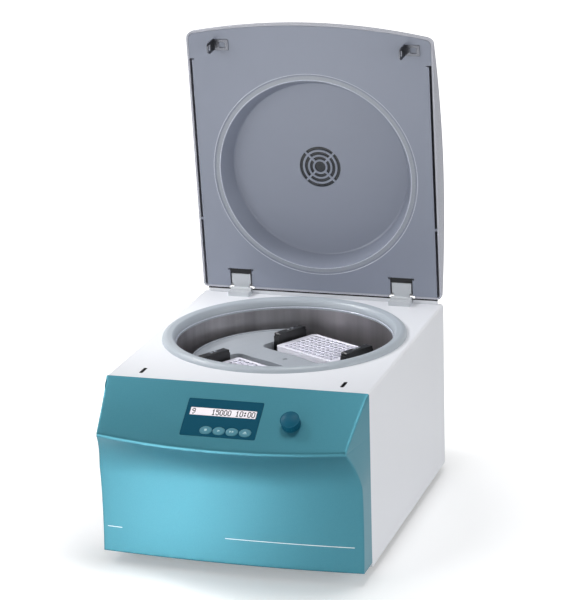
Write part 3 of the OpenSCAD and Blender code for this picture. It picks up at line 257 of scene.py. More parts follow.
finishes = {
    "housing_paint": powder_coat("off_white_powder_coat", "e9ebf0", 0.38),
    "hinge_paint": powder_coat("light_grey_powder_coat", "c3c7cc", 0.36),
    "plain_steel": bare_metal("zinc_plated_steel", "b4b8bc", 0.32),
    "screw_steel": bare_metal("bright_steel_screws", "f0f2f4", 0.16, 1 * MM),
    "striker_steel": bare_metal("bare_spring_steel", "686a70", 0.3, 1.2 * MM, (1, 8, 8)),
    "guard_steel": bare_metal("hot_rolled_steel", "55585b", 0.5, 5 * MM),
    "cast_aluminium": bare_metal("sand_cast_aluminium", "9b9fa3", 0.55, 0.9 * MM, depth=0.08 * MM),
    "copper_winding": bare_metal("enamelled_copper_wire", "a8643a", 0.3, 0.8 * MM, (1, 1, 6), 0.2 * MM),
    "tray_aluminium": bare_metal("anodised_aluminium", "a8adb2", 0.38, 0.8 * MM),
}
print(len(finishes), "finishes so far")

# %% [markdown]
# The front panel is moulded plastic under a teal lacquer with fine metal flakes. Flakes make a
# surface light where it faces the lamps and deep where it turns away. The flakes are finer than a
# tenth of a millimetre, so here they are drawn ten times coarser, as a faint sparkle.

# %% Teal lacquer
def flake_lacquer(name, code, deep):
    material, tree, shader = new_material(name, Metallic=0.74, Roughness=0.36, Coat_Weight=0.3,
                                          Coat_Roughness=0.15, Specular_IOR_Level=0.5)
    place = place_of(tree)
    vary(tree, shader, "Base Color", place, 0.9 * MM, linear(deep), linear(code), colour=True)
    flakes = add(tree, "ShaderNodeTexVoronoi", {"Vector": place, "Scale": 1 / (0.8 * MM)})
    relief(tree, shader, flakes.outputs["Distance"], 0.01 * MM, 0.35)
    return material


finishes["panel_teal"] = flake_lacquer("teal_flake_lacquer", "569dae", "458d9f")

# %% [markdown]
# ## Plastics, rubber and glass
#
# Moulded plastic copies the fine spark-eroded grain of its mould, which scatters light softly.
# Rubber is rougher still. Both keep a plain colour with a very fine relief.

# %% Satin paint, moulded plastics and rubbers
def satin_paint(name, code, roughness):
    """A paint with a little aluminium powder in it, which gives broad soft reflections."""
    material, tree, shader = new_material(name, Base_Color=linear(code), Metallic=0.1, Roughness=roughness)
    grain = vary(tree, shader, "Roughness", place_of(tree), 0.9 * MM, roughness - 0.03, roughness + 0.05)
    relief(tree, shader, grain, 0.01 * MM)
    return material


def moulded(name, code, roughness, grain=0.7 * MM, depth=0.02 * MM, coat=0.0, shine=0.5):
    material, tree, shader = new_material(name, Base_Color=linear(code), Roughness=roughness,
                                          Coat_Weight=coat, Specular_IOR_Level=shine)
    place = place_of(tree)
    field = vary(tree, shader, "Roughness", place, grain, roughness - 0.05, roughness + 0.07)
    relief(tree, shader, field, depth)
    return material


finishes.update({
    "foot_rubber": moulded("black_nitrile_rubber", "242527", 0.75, 1.0 * MM, 0.05 * MM),
    "seal_rubber": moulded("light_grey_silicone", "9aa0aa", 0.28),
    "collar_rubber": moulded("light_grey_soft_plastic", "aab2ba", 0.34),
    "black_plastic": moulded("black_glass_filled_nylon", "1b1c1e", 0.5),
    "hanger_black": moulded("black_acetal", "131416", 0.42),
    "rocker_plastic": moulded("black_gloss_abs", "17181a", 0.25, coat=0.3),
    "knob_plastic": moulded("dark_teal_soft_touch_plastic", "06546b", 0.46, 0.6 * MM, 0.03 * MM, shine=0.2),
    "lid_shell_plastic": moulded("pale_satin_abs", "b6b8c2", 0.3, 1.2 * MM, 0.01 * MM),
    "lid_panel_paint": satin_paint("grey_metallic_paint", "8c92a1", 0.36),
    "foil_print": moulded("screen_printed_polyester_foil", "00485e", 0.5, 0.5 * MM, 0.01 * MM, shine=0.1),
    "key_face": moulded("embossed_foil_keys", "4a8494", 0.45, 0.9 * MM, 0.04 * MM, shine=0.3),
    "board_laminate": moulded("green_glass_epoxy_board", "2f6b45", 0.4),
    "display_face": moulded("liquid_crystal_display", "fdf6fc", 0.4, 3 * MM, 0.0),
})
print(len(finishes), "finishes")

# %% [markdown]
# The chamber is spun and brushed stainless steel. Its scratches run round the bowl, as fine lines
# in the roughness. The soft upright bands that a lamp's reflection makes on such steel are painted
# into the colour, lighter and darker round the bowl: a painted reflection. The pattern is laid on
# the angle round the chamber's axle and on the height, not on plain left and right.

# %% Brushed stainless steel and turned aluminium
def round_the_axle(tree, across, along):
    """A pattern place that winds round the chamber's axle: angle, radius and height."""
    coords = add(tree, "ShaderNodeTexCoord").outputs["Object"]
    moved = add(tree, "ShaderNodeVectorMath", {0: coords, 1: (axle.x, axle.y, 0)}, operation="SUBTRACT")
    split = add(tree, "ShaderNodeSeparateXYZ", {0: moved.outputs[0]})
    x, y, z = split.outputs
    angle = add(tree, "ShaderNodeMath", {0: y, 1: x}, operation="ARCTAN2").outputs[0]
    squares = [add(tree, "ShaderNodeMath", {0: v, 1: v}, operation="MULTIPLY").outputs[0] for v in (x, y)]
    total = add(tree, "ShaderNodeMath", {0: squares[0], 1: squares[1]}, operation="ADD").outputs[0]
    radius = add(tree, "ShaderNodeMath", {0: total}, operation="SQRT").outputs[0]
    place = add(tree, "ShaderNodeCombineXYZ", {0: angle, 1: radius, 2: z}).outputs[0]
    return add(tree, "ShaderNodeMapping", {"Vector": place, "Scale": (across, along, along)}).outputs[0]


def brushed_bowl():
    material, tree, shader = new_material("brushed_stainless_steel", Metallic=0.85, Roughness=0.34)
    # Upright bands of lighter and darker colour round the bowl: a painted reflection of the lamps.
    reflection_bands = round_the_axle(tree, 9.0, 2.0)
    vary(tree, shader, "Base Color", reflection_bands, 1.0, linear("8f8c8f"), linear("c8c5c9"), colour=True)
    lines = round_the_axle(tree, 1.5, 1 / (0.8 * MM))
    field = vary(tree, shader, "Roughness", lines, 1.0, 0.28, 0.46)
    relief(tree, shader, field, 0.02 * MM, 0.5)
    return material


def turned_metal(name, code, metallic, roughness):
    material, tree, shader = new_material(name, Base_Color=linear(code), Metallic=metallic,
                                          Roughness=roughness)
    lines = round_the_axle(tree, 0.6, 1 / (1.2 * MM))
    field = vary(tree, shader, "Roughness", lines, 1.0, roughness - 0.05, roughness + 0.08)
    relief(tree, shader, field, 0.01 * MM, 0.4)
    return material


finishes["bowl_steel"] = brushed_bowl()
finishes["rotor_aluminium"] = turned_metal("satin_anodised_aluminium", "b6bcc3", 0.35, 0.4)

# %% [markdown]
# A microplate is injection moulded polystyrene, a clear plastic with a strong sparkle (IOR 1.59).
# Its 96 thin cups scatter so much light that it looks milky, so only a tenth passes straight on.
# The window is smoked polycarbonate. Clear things mostly show what lies behind them, so they need
# thin walls and a surface that is nearly smooth.

# %% Clear plastics
finishes["clear_polystyrene"] = new_material("clear_polystyrene", Base_Color=linear("f5f4ff"), IOR=1.59,
                                             Roughness=0.12, Transmission_Weight=0.1)[0]
finishes["window_glass"] = new_material("smoked_polycarbonate", Base_Color=linear("2c3138"), IOR=1.58,
                                        Roughness=0.05, Transmission_Weight=0.3)[0]

# %% [markdown]
# Every CAD node now gets the finish of its slot. The record lists which node has which slot. The
# nut on the rotor is of the rotor's own metal, and the two lock units under the deck's slots get
# black plastic, which also serves as painted shade that makes the slots read dark.

# %% Dress the CAD nodes
slot_of = {p["node"]: p["material_slot"] for p in frame["record"]["subparts"]}
# Black lock units: their colour also serves as painted shade inside the deck's slots.
OTHER = {f"lock_{part}_{side}": "black_plastic" for part in ("unit", "bolt") for side in ("left", "right")}
OTHER["rotor_nut"] = "rotor_aluminium"
for name, node in nodes.items():
    for place in node.material_slots:
        place.material = finishes[OTHER.get(name, slot_of[name])]
print(sum(len(n.material_slots) for n in nodes.values()), "slots dressed")

# %% [markdown]
# ## Making pieces
#
# A new piece is made flat in millimetres, set in place by one of the matrices, and then rides on
# a CAD body by name. `settle` turns all modifiers into a plain mesh, so that nothing is live.

# %% Piece helpers
def settle(piece, sharp=35):
    bpy.context.view_layer.update()
    graph = bpy.context.evaluated_depsgraph_get()
    mesh = bpy.data.meshes.new_from_object(piece.evaluated_get(graph))
    piece.modifiers.clear()
    piece.data = mesh
    mesh.shade_smooth()
    mesh.set_sharp_from_angle(angle=math.radians(sharp))
    return piece


def new_piece(name, points, faces, where, finish=None):
    mesh = bpy.data.meshes.new(name)
    mesh.from_pydata([tuple(where @ Vector(p)) for p in points], [], faces)
    mesh.update()
    piece = bpy.data.objects.new(name, mesh)
    bpy.context.scene.collection.objects.link(piece)
    if finish:
        mesh.materials.append(finishes[finish])
    return piece


def soften(piece, width, segments=3, angle=35):
    """Rounds the sharp edges a little, as every real moulded or deburred edge is."""
    bevel = piece.modifiers.new("bevel", "BEVEL")
    bevel.width, bevel.segments, bevel.limit_method = width, segments, "ANGLE"
    bevel.angle_limit, bevel.use_clamp_overlap = math.radians(angle), False
    bevel.harden_normals = False
    return piece


def carve(piece, tool):
    """Cuts a closed tool mesh out of a piece and throws the tool away."""
    cut = piece.modifiers.new("cut", "BOOLEAN")
    cut.operation, cut.object, cut.solver = "DIFFERENCE", tool, "EXACT"
    settle(piece)
    bpy.data.objects.remove(tool)
    return piece


def band(n, low, high):
    """Faces between two rings of n points whose first points are low and high."""
    return [(low + i, low + (i + 1) % n, high + (i + 1) % n, high + i) for i in range(n)]


def prism(outline, low, high, where, name="tool"):
    """A closed straight block over an outline of points, from one height to another."""
    n = len(outline)
    points = [(x, y, low) for x, y in outline] + [(x, y, high) for x, y in outline]
    faces = [tuple(range(n))[::-1], tuple(range(n, 2 * n))] + band(n, 0, n)
    return new_piece(name, points, faces, where)


def rounded_outline(wide, tall, radius, centre=(0, 0), steps=8):
    """Points round a rectangle with round corners, against the clock."""
    points = []
    for k, (sx, sy) in enumerate([(1, 1), (-1, 1), (-1, -1), (1, -1)]):
        for i in range(steps + 1):
            a = math.pi / 2 * (k + i / steps)
            points.append((centre[0] + sx * (wide / 2 - radius) + radius * math.cos(a),
                           centre[1] + sy * (tall / 2 - radius) + radius * math.sin(a)))
    return points


def stand_for(piece, body, slot, *replaced):
    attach(piece, body)
    if replaced:
        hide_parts(*replaced)
    triangles = sum(len(p.vertices) - 2 for p in piece.data.polygons)
    print(piece.name, "on", body, "with", triangles, "triangles")
    return piece


# %% [markdown]
# ## Front panel
#
# The front panel is one moulding: a control slope, a ridge that bows forward, and a concave lower
# face. The CAD model has it as a coarse skin of flat faces, which would show as bands of light.
# The same rule is followed here with many more stations: a side profile made of straight runs and
# Bezier curves, swept across the width while its ridge moves in and out.

# %% Side profile of the front panel
HALF = 197.5
SLOPE = np.array([math.cos(SLOPE_ANGLE), -math.sin(SLOPE_ANGLE)])
UNDER = np.array([-0.70, -0.714])
START, BOTTOM, WALL = np.array([0.3, 275.0]), 19.0, 3.0


def bezier(a, b, c, d, steps, closed=False):
    t = np.linspace(0, 1, steps + 1)[:, None] if closed else np.arange(steps)[:, None] / steps
    return a * (1 - t) ** 3 + 3 * b * t * (1 - t) ** 2 + 3 * c * t * t * (1 - t) + d * t ** 3


def side_profile(u):
    """Points [distance in front of the deck edge, height] from the deck down to the bottom."""
    ridge = START + (104.5 + 12.5 * (1 - u * u)) * SLOPE
    before, after = ridge - 6 * SLOPE, ridge + 6 * UNDER
    reach = 42 + 9 * (1 - u * u) + 2
    waist, foot = np.array([reach, 275 * 0.51]), np.array([reach, BOTTOM])
    run = START + (before - START) * np.linspace(0, 1, 17)[:-1, None]
    return ridge, np.concatenate([
        run, bezier(before, before + 4 * SLOPE, after - 4 * UNDER, after, 12),
        bezier(after, after + 26 * UNDER, waist + [3, 24], waist, 26),
        bezier(waist, waist + [-4, -32], foot + [-3.5, 36], foot, 26, closed=True)])


def set_in(point, ridge):
    """How far the panel's side edge is drawn in, most of all at the ridge."""
    d, z = point
    on_slope = z > ridge[1] and d < ridge[0] and z > 275 - d * math.tan(SLOPE_ANGLE) - 2 * WALL
    if on_slope:
        return 12.5 * (max(0, d) / ridge[0]) ** 0.8
    return 12.5 * max(0, min(1, (z - 148.5) / (ridge[1] - 148.5))) ** 1.2


print("ridge at the middle", [round(v, 1) for v in side_profile(0)[0]])

# %% Sweep the panel and close its cheeks
def panel_points(stations=80, across=10):
    points, faces = [], []
    us = np.linspace(-1, 1, stations + 1)
    rows = []
    for u in us:
        ridge, profile = side_profile(u)
        row = [(u * (HALF - set_in(p, ridge)), -p[0], p[1]) for p in profile]
        rows.append(range(len(points), len(points) + len(row)))
        points += row
    n = len(rows[0])
    for a, b in zip(rows, rows[1:]):
        faces += [(a[j], a[j + 1], b[j + 1], b[j]) for j in range(n - 1)]
    # Bottom: straight back from the lower edge to the plane of the housing
    back = []
    for row in rows:
        x, y, z = points[row[n - 1]]
        back.append(len(points))
        points.append((x, -START[0], BOTTOM))
    faces += [(rows[i][n - 1], back[i], back[i + 1], rows[i + 1][n - 1]) for i in range(stations)]
    # Cheeks: from each point of the side edge straight back to the housing's side
    for side, edge in ((-1, rows[0]), (1, rows[-1])):
        columns = [list(edge)]
        for k in range(1, across + 1):
            t = 1 - k / across
            column = []
            for j in range(n):
                x, y, z = points[edge[j]]
                if j == n - 1 and k == across:
                    column.append(back[0 if side < 0 else -1])
                elif j == 0:
                    column.append(edge[0])
                else:
                    column.append(len(points))
                    across_x = side * (HALF - (HALF - abs(x)) * t)
                    points.append((across_x, -START[0] + (y + START[0]) * t, z))
            columns.append(column)
        # The lowest row of the cheek is shared with the bottom's side edge
        for a, b in zip(columns, columns[1:]):
            for j in range(n - 1):
                ring = [a[j], b[j], b[j + 1], a[j + 1]]
                ring = ring if side < 0 else [ring[0]] + ring[:0:-1]
                ring = [v for i, v in enumerate(ring) if v not in ring[:i]]
                if len(ring) > 2:
                    faces.append(tuple(ring))
    return points, faces


points, faces = panel_points()
front = new_piece("front_panel_skin", points, faces, ON_DECK, "panel_teal")
shell = bmesh.new()
shell.from_mesh(front.data)
bmesh.ops.remove_doubles(shell, verts=shell.verts, dist=1e-6)
bmesh.ops.recalc_face_normals(shell, faces=shell.faces)
shell.to_mesh(front.data)
shell.free()
soften(front, 1.6 * MM, 4, 38)
wall = front.modifiers.new("wall", "SOLIDIFY")
wall.thickness, wall.offset, wall.use_even_offset = 2.6 * MM, -1, False
settle(front, 40)
# The bevel must not carry the side edges past the housing
for vertex in front.data.vertices:
    vertex.co.x = max(-HALF * MM, min(HALF * MM, vertex.co.x))
print("front panel", len(front.data.polygons), "faces")

# %% [markdown]
# The control foil lies in a shallow bed, and holes let through the display, the keys and the
# knob's shaft. They are cut out with closed blocks that stand square on the slope.

# %% Cut the bed and the holes
carve(front, prism(rounded_outline(112.6, 64.1, 2.3, (-6, -60.5)), -1.0, 10, ON_SLOPE))
carve(front, prism(rounded_outline(99.6, 14.1, 1.0, (-6.5, -50.2)), -10, 2, ON_SLOPE))
KEY_X = [-25 + 19.5 * k for k in range(4)]
for x in KEY_X:
    carve(front, prism(rounded_outline(8.6, 8.6, 4.3, (x, -81.5)), -10, 2, ON_SLOPE))
carve(front, prism(rounded_outline(9, 9, 4.5, (97, -61)), -10, 10, ON_SLOPE))
stand_for(front, "chassis", "panel_teal", "front_panel")

# %% [markdown]
# A thin white line is printed low on the front, in two stretches. It follows the bowed face: the
# side profile gives how far the face stands out at the line's height.

# %% Printed line
LINE_Z, LINE_TALL, INK = 57.0, 1.1, 0.06


def face_reach(x, z):
    profile = side_profile(x / HALF)[1][-27:]
    return float(np.interp(z, profile[::-1, 1], profile[::-1, 0]))


def printed_line(name, first, last, steps=40):
    points, faces = [], []
    for x in np.linspace(first, last, steps + 1):
        for lift, z in ((0, LINE_Z), (INK, LINE_Z), (INK, LINE_Z + LINE_TALL), (0, LINE_Z + LINE_TALL)):
            points.append((x, -face_reach(x, z) - lift, z))
    for i in range(steps):
        faces += band(4, 4 * i, 4 * i + 4)
    faces += [(3, 2, 1, 0), (4 * steps, 4 * steps + 1, 4 * steps + 2, 4 * steps + 3)]
    return new_piece(name, points, faces, ON_DECK, "white_ink")


finishes["white_ink"] = new_material("white_screen_print_ink", Base_Color=linear("eef6f8"), Roughness=0.5)[0]
for name, first, last in (("printed_line_left", -190, -167), ("printed_line_right", -7, 184)):
    stand_for(printed_line(name, first, last), "chassis", "panel_teal")

# %% [markdown]
# A low lip stands on the deck's rear edge, under the open lid, with a black rubber bead on top.
# The bead's black is painted shade: it stands for the shadowed gap under the lid's rear edge.
# It leaves out the two hinges.

# %% Rear lip
block = [v.co.x / MM for v in nodes["hinge_block_right"].data.vertices]
inner, outer = min(block) - 0.3, max(block) + 0.3
for k, (first, last) in enumerate(((-189, -outer), (-inner, inner), (outer, 189)), 1):
    for name, finish, low, high, near, far in (
            ("rear_lip", "housing_paint", 275.0, 280.6, 440.4, 443.0),
            # A black bead as a painted shadow of the gap under the lid.
            ("rear_bead", "foot_rubber", 280.6, 282.2, 440.0, 443.4)):
        outline = rounded_outline(last - first, far - near, 0.9, ((first + last) / 2, (near + far) / 2))
        piece = prism(outline, low, high, ON_DECK, f"{name}_{k}")
        piece.data.materials.append(finishes[finish])
        stand_for(settle(soften(piece, 0.4 * MM, 2)), "chassis", finish)

# %% [markdown]
# The two slots in the deck have a black plastic liner with a thin flange, and a black rubber pad
# closes the opening behind each hinge leaf. Both blacks are painted shade: they stand for the
# shadow deep in the slots and in the opening over each leaf. A ring of sections, each a rounded
# rectangle at its own height, gives the liner its shape.

# %% Slot liners and hinge pads, black as painted shade
def swept_ring(name, sections, centre, where, finish):
    """Joins rounded rectangles [width, length, corner, height] into one closed ring."""
    points = [(x, y, z) for wide, tall, corner, z in sections
              for x, y in rounded_outline(wide, tall, corner, centre)]
    n, turns = len(points) // len(sections), len(sections)
    faces = [face for k in range(turns) for face in band(n, k * n, (k + 1) % turns * n)]
    return new_piece(name, points, faces, where, finish)


SLOT_X, SLOT_Y, LEAF_X = 151.8, 31.0, 132.0
SLEEVE_SECTIONS = [(3.76, 21.5, 1.0, 272.1), (3.76, 21.5, 1.0, 275.01), (5.6, 23.4, 1.9, 275.01),
         (5.4, 23.2, 1.8, 275.16), (2.9, 20.7, 0.6, 275.16), (2.9, 20.7, 0.6, 272.1)]
LEAF_SHADE_SIZE = (34.6, 8.6, 0.6)
for k, side in enumerate((-1, 1), 1):
    # Black liner inside the slot: painted shade.
    dark_sleeve = swept_ring(f"slot_liner_{k}", SLEEVE_SECTIONS, (side * SLOT_X, SLOT_Y), ON_DECK, "black_plastic")
    stand_for(settle(dark_sleeve), "chassis", "black_plastic")
    # Black pad over the leaf's opening: painted shade.
    leaf_shade = prism(rounded_outline(*LEAF_SHADE_SIZE, (side * LEAF_X, -28.7)), 1.1, 1.98, ON_LID, f"hinge_pad_{k}")
    leaf_shade.data.materials.append(finishes["foot_rubber"])
    stand_for(settle(leaf_shade), "lid", "foot_rubber")

# %% [markdown]
# ## Geometry Nodes helpers
#
# Geometry Nodes build a mesh from a recipe with named inputs. `recipe` starts a tree, `grow` puts
# it on an empty object, sets its inputs and turns the result into a plain mesh.

# %% Start a recipe and grow a piece from it
def recipe(name, **inputs):
    tree = bpy.data.node_groups.new(name, "GeometryNodeTree")
    tree.interface.new_socket(name="Geometry", in_out="OUTPUT", socket_type="NodeSocketGeometry")
    for label, value in inputs.items():
        kind = "NodeSocketInt" if isinstance(value, int) else "NodeSocketFloat"
        tree.interface.new_socket(name=label, in_out="INPUT", socket_type=kind).default_value = value
    return tree, add(tree, "NodeGroupInput").outputs


def finish_recipe(tree, geometry, finish):
    solid = add(tree, "GeometryNodeRealizeInstances", {"Geometry": geometry}).outputs[0]
    painted = add(tree, "GeometryNodeSetMaterial", {"Geometry": solid, "Material": finishes[finish]})
    add(tree, "NodeGroupOutput", {"Geometry": painted.outputs[0]})


def grow(name, tree, where, points=(), sharp=35, **values):
    piece = new_piece(name, points, [], Matrix.Identity(4))
    modifier = piece.modifiers.new("recipe", "NODES")
    modifier.node_group = tree
    for socket in tree.interface.items_tree:
        if socket.in_out == "INPUT" and socket.name in values:
            modifier[socket.identifier] = values[socket.name]
    settle(piece, sharp)
    piece.data.transform(where)
    return piece


def formula(tree, known, steps):
    """Math nodes from a list of steps: each is a new name, an operation and names or numbers."""
    for name, operation, *values in steps:
        inputs = {i: known.get(v, v) if isinstance(v, str) else v for i, v in enumerate(values)}
        known[name] = add(tree, "ShaderNodeMath", inputs, operation=operation).outputs[0]
    return known


print("recipes can be grown")

# %% [markdown]
# ## The lid's domed shell
#
# The shell's height follows a rule: it bulges between hinge and front edge, is highest along its
# middle line, and rolls over at the rim. So it is grown by Geometry Nodes from a flat grid: each
# grid point is given its x and s from the lid's outline, and its height from the rule. The rows
# crowd together at the rim, because there the surface turns fastest. The grid's outermost ring is
# pressed down to the lid's inner face and makes the upright outer wall.

# %% Recipe of the shell
LID_HALF, APEX, SAGITTA, CORNER, REAR_CORNER = 195.9, 440.25, 18.6, 12.0, 6.0
BOW = (LID_HALF ** 2 + SAGITTA ** 2) / (2 * SAGITTA)
MID = LID_HALF - CORNER
CORNER_S = APEX - BOW + math.sqrt((BOW - CORNER) ** 2 - MID ** 2)
tree, given = recipe("domed_shell", edge=12.0, bulge=38.0, crown=9.0, rim=9.0)
ACROSS, ALONG = 36, 90
grid = add(tree, "GeometryNodeMeshGrid", {
    "Size X": 2 * (ACROSS + 1) / ACROSS, "Size Y": (ALONG + 2) / ALONG,
    "Vertices X": 2 * ACROSS + 3, "Vertices Y": ALONG + 3}).outputs["Mesh"]
spot = add(tree, "ShaderNodeSeparateXYZ", {0: add(tree, "GeometryNodeInputPosition").outputs[0]})
known = {"gx": spot.outputs[0], "gy": spot.outputs[1], "edge": given["edge"], "bulge": given["bulge"],
         "crown": given["crown"], "rim": given["rim"]}
formula(tree, known, [
    ("low_x", "MAXIMUM", "gx", -1.0), ("u", "MINIMUM", "low_x", 1.0),
    ("high_y", "ADD", "gy", 0.5), ("low_y", "MAXIMUM", "high_y", 0.0), ("v", "MINIMUM", "low_y", 1.0),
    ("turn", "MULTIPLY", "u", math.pi / 2), ("swing", "SINE", "turn"), ("x", "MULTIPLY", "swing", LID_HALF),
    ("a", "ABSOLUTE", "x"), ("x2", "MULTIPLY", "x", "x"),
    # Front edge: a wide bow that ends in two round corners
    ("bow2", "SUBTRACT", BOW ** 2, "x2"), ("bow", "SQRT", "bow2"), ("mid_front", "ADD", "bow", APEX - BOW),
    ("c1", "SUBTRACT", "a", MID), ("c2", "MULTIPLY", "c1", "c1"), ("c3", "SUBTRACT", CORNER ** 2, "c2"),
    ("c4", "MAXIMUM", "c3", 0.0), ("c5", "SQRT", "c4"), ("corner_front", "ADD", "c5", CORNER_S),
    ("at_corner", "GREATER_THAN", "a", MID + CORNER * math.sin(math.atan(MID / BOW))),
    ("f1", "SUBTRACT", "corner_front", "mid_front"),
    ("front", "MULTIPLY_ADD", "f1", "at_corner", "mid_front"),
    # Rear edge: straight, with two small round corners
    ("r1", "SUBTRACT", "a", LID_HALF - REAR_CORNER), ("r2", "MAXIMUM", "r1", 0.0),
    ("r3", "MULTIPLY", "r2", "r2"),
    ("r4", "SUBTRACT", REAR_CORNER ** 2, "r3"), ("r5", "MAXIMUM", "r4", 0.0), ("r6", "SQRT", "r5"),
    ("rear", "SUBTRACT", REAR_CORNER, "r6"),
    # Place along the lid
    ("v_turn", "MULTIPLY", "v", math.pi), ("v_cos", "COSINE", "v_turn"),
    ("v_way", "MULTIPLY_ADD", "v_cos", -0.5, 0.5),
    ("length", "SUBTRACT", "front", "rear"), ("s", "MULTIPLY_ADD", "length", "v_way", "rear"),
    # Height: bulge, crown and edge, less the roll at the rim
    ("h1", "MULTIPLY_ADD", "s", 2 / APEX, -0.95), ("h2", "ABSOLUTE", "h1"), ("h3", "POWER", "h2", 1.9),
    ("h4", "SUBTRACT", 1.0, "h3"), ("h5", "MULTIPLY_ADD", "h4", "bulge", "edge"),
    ("k1", "MULTIPLY_ADD", "x2", -1 / LID_HALF ** 2, 1.0), ("h6", "MULTIPLY_ADD", "k1", "crown", "h5"),
    ("e1", "SUBTRACT", LID_HALF, "a"), ("e2", "SUBTRACT", "front", "s"), ("e3", "SUBTRACT", "s", "rear"),
    ("e4", "MINIMUM", "e1", "e2"), ("e5", "MINIMUM", "e4", "e3"), ("e6", "MINIMUM", "e5", "rim"),
    ("e7", "SUBTRACT", "rim", "e6"), ("e8", "MULTIPLY", "e7", "e7"), ("e9", "MULTIPLY", "rim", "rim"),
    ("e10", "SUBTRACT", "e9", "e8"), ("e11", "MAXIMUM", "e10", 0.0), ("e12", "SQRT", "e11"),
    ("drop", "SUBTRACT", "rim", "e12"), ("high", "SUBTRACT", "h6", "drop"),
    # The outermost ring goes down to the lid's inner face
    ("gx_size", "ABSOLUTE", "gx"), ("gy_size", "ABSOLUTE", "gy"),
    ("past_x", "GREATER_THAN", "gx_size", 1.0001),
    ("past_y", "GREATER_THAN", "gy_size", 0.5001), ("past", "MAXIMUM", "past_x", "past_y"),
    ("on_top", "SUBTRACT", 1.0, "past"), ("z", "MULTIPLY", "high", "on_top"), ("y", "MULTIPLY", "s", -1.0),
])
spot = add(tree, "ShaderNodeCombineXYZ", {0: known["x"], 1: known["y"], 2: known["z"]}).outputs[0]
bent = add(tree, "GeometryNodeSetPosition", {"Geometry": grid, "Position": spot}).outputs[0]
joined = add(tree, "GeometryNodeMergeByDistance", {"Geometry": bent, "Distance": 0.01}).outputs[0]
finish_recipe(tree, joined, "lid_shell_plastic")
print(len(tree.nodes), "nodes in the shell's recipe")

# %% Grow the shell, give it a wall and cut its openings
dome = grow("lid_shell_skin", tree, ON_LID, sharp=50)
skin = bmesh.new()
skin.from_mesh(dome.data)
bmesh.ops.recalc_face_normals(skin, faces=skin.faces)
top = max(skin.faces, key=lambda f: (ON_LID.inverted() @ f.calc_center_median()).z)
if top.normal.dot(ON_LID.to_3x3() @ Vector((0, 0, 1))) < 0:
    bmesh.ops.reverse_faces(skin, faces=skin.faces)
skin.to_mesh(dome.data)
skin.free()
wall = dome.modifiers.new("wall", "SOLIDIFY")
wall.thickness, wall.offset = 2.9 * MM, -1
settle(dome, 50)
DISH_S = 196.15
circle = [(14 * math.cos(a), -DISH_S + 14 * math.sin(a)) for a in np.linspace(0, math.tau, 65)[:-1]]
carve(dome, prism(circle, 20, 100, ON_LID))
for side in (-1, 1):
    carve(dome, prism(rounded_outline(42, 16, 1.0, (side * LEAF_X, 1)), -1, 9, ON_LID))
stand_for(dome, "lid", "lid_shell_plastic", "lid_shell")

# %% [markdown]
# The edge of the dish and the inner edge of its seal are rolled lips, and so is the collar's inner
# edge over the steel bowl. They are painted a pale grey, far lighter than the panel and the collar,
# so they read as thin bright rings: a painted highlight on real round lips. One recipe sweeps a
# small circle along a large one.

# %% Rolled lips of the dish and the collar
# A pale paint whose lightness is a painted highlight on the rolled lips.
finishes["lip_highlight_paint"] = satin_paint("pale_lip_painted_highlight", "c6cbd8", 0.26)
tree, given = recipe("rolled_lip", ring_radius=160.0, wire=0.9)
path = add(tree, "GeometryNodeCurvePrimitiveCircle", {"Radius": given["ring_radius"], "Resolution": 180})
wire = add(tree, "GeometryNodeCurvePrimitiveCircle", {"Radius": given["wire"], "Resolution": 12})
tube = add(tree, "GeometryNodeCurveToMesh", {"Curve": path.outputs[0], "Profile Curve": wire.outputs[0]})
finish_recipe(tree, tube.outputs[0], "lip_highlight_paint")
for name, radius in (("dish_outer_lip", 164.6), ("dish_inner_lip", 154.9)):
    where = ON_LID @ Matrix.Translation((0, -DISH_S, 0.65))
    lip = grow(name, tree, where, ring_radius=radius, wire=0.9)
    stand_for(lip, "lid", "lid_panel_paint")
where = AT_BOWL @ Matrix.Translation((0, 0, 268.9))
lip = grow("collar_inner_lip", tree, where, ring_radius=164.9, wire=0.9)
stand_for(lip, "chassis", "collar_rubber")

# %% [markdown]
# ## Microplates
#
# A microplate is a thin-walled moulding: 96 cups hang from a flat web, inside a frame with a
# skirt. One cup with its 9 mm square of web is made first. Geometry Nodes set it on a grid of 12
# by 8 points and merge the seams, so the web becomes one sheet.

# %% One cup and its square of web
def cup_points(pitch=9.0, sides=16):
    angles = [math.tau * (i + 0.5) / sides for i in range(sides)]
    half = pitch / 2
    points = []

    def ring(radius, z):
        points.extend((radius * math.cos(a), radius * math.sin(a), z) for a in angles)

    def square(z):
        for a in angles:
            k = half / max(abs(math.cos(a)), abs(math.sin(a)))
            points.append((k * math.cos(a), k * math.sin(a), z))

    square(-0.6)
    for radius, z in ((4.05, -0.6), (3.95, 0), (3.5, 0), (3.3, -10.6)):
        ring(radius, z)
    ring(2.9, -10.9)
    ring(3.5, -11.9)
    ring(3.85, -1.6)
    square(-1.6)
    # Corner points of the square, so that four cups leave no gap between them
    corners = len(points)
    for z in (-0.6, -1.6):
        points.extend((x * half, y * half, z) for x, y in ((1, 1), (-1, 1), (-1, -1), (1, -1)))
    n = sides
    faces = []
    for k in range(5):
        faces += [face[:1] + face[:0:-1] for face in band(n, k * n, k * n + n)]
    faces.append(tuple(range(5 * n, 6 * n)))
    faces.append(tuple(reversed(range(6 * n, 7 * n))))
    for k in (6, 7):
        faces += [face[:1] + face[:0:-1] for face in band(n, k * n, k * n + n)]
    for k in range(4):
        i = n // 8 + k * n // 4 - 1
        faces.append((i, i + 1 if i + 1 < n else 0, corners + k))
        faces.append((8 * n + (i + 1) % n, 8 * n + i, corners + 4 + k))
    return points, faces


cup = new_piece("cup", *cup_points(), Matrix.Identity(4), "clear_polystyrene")
print("one cup has", len(cup.data.polygons), "faces")

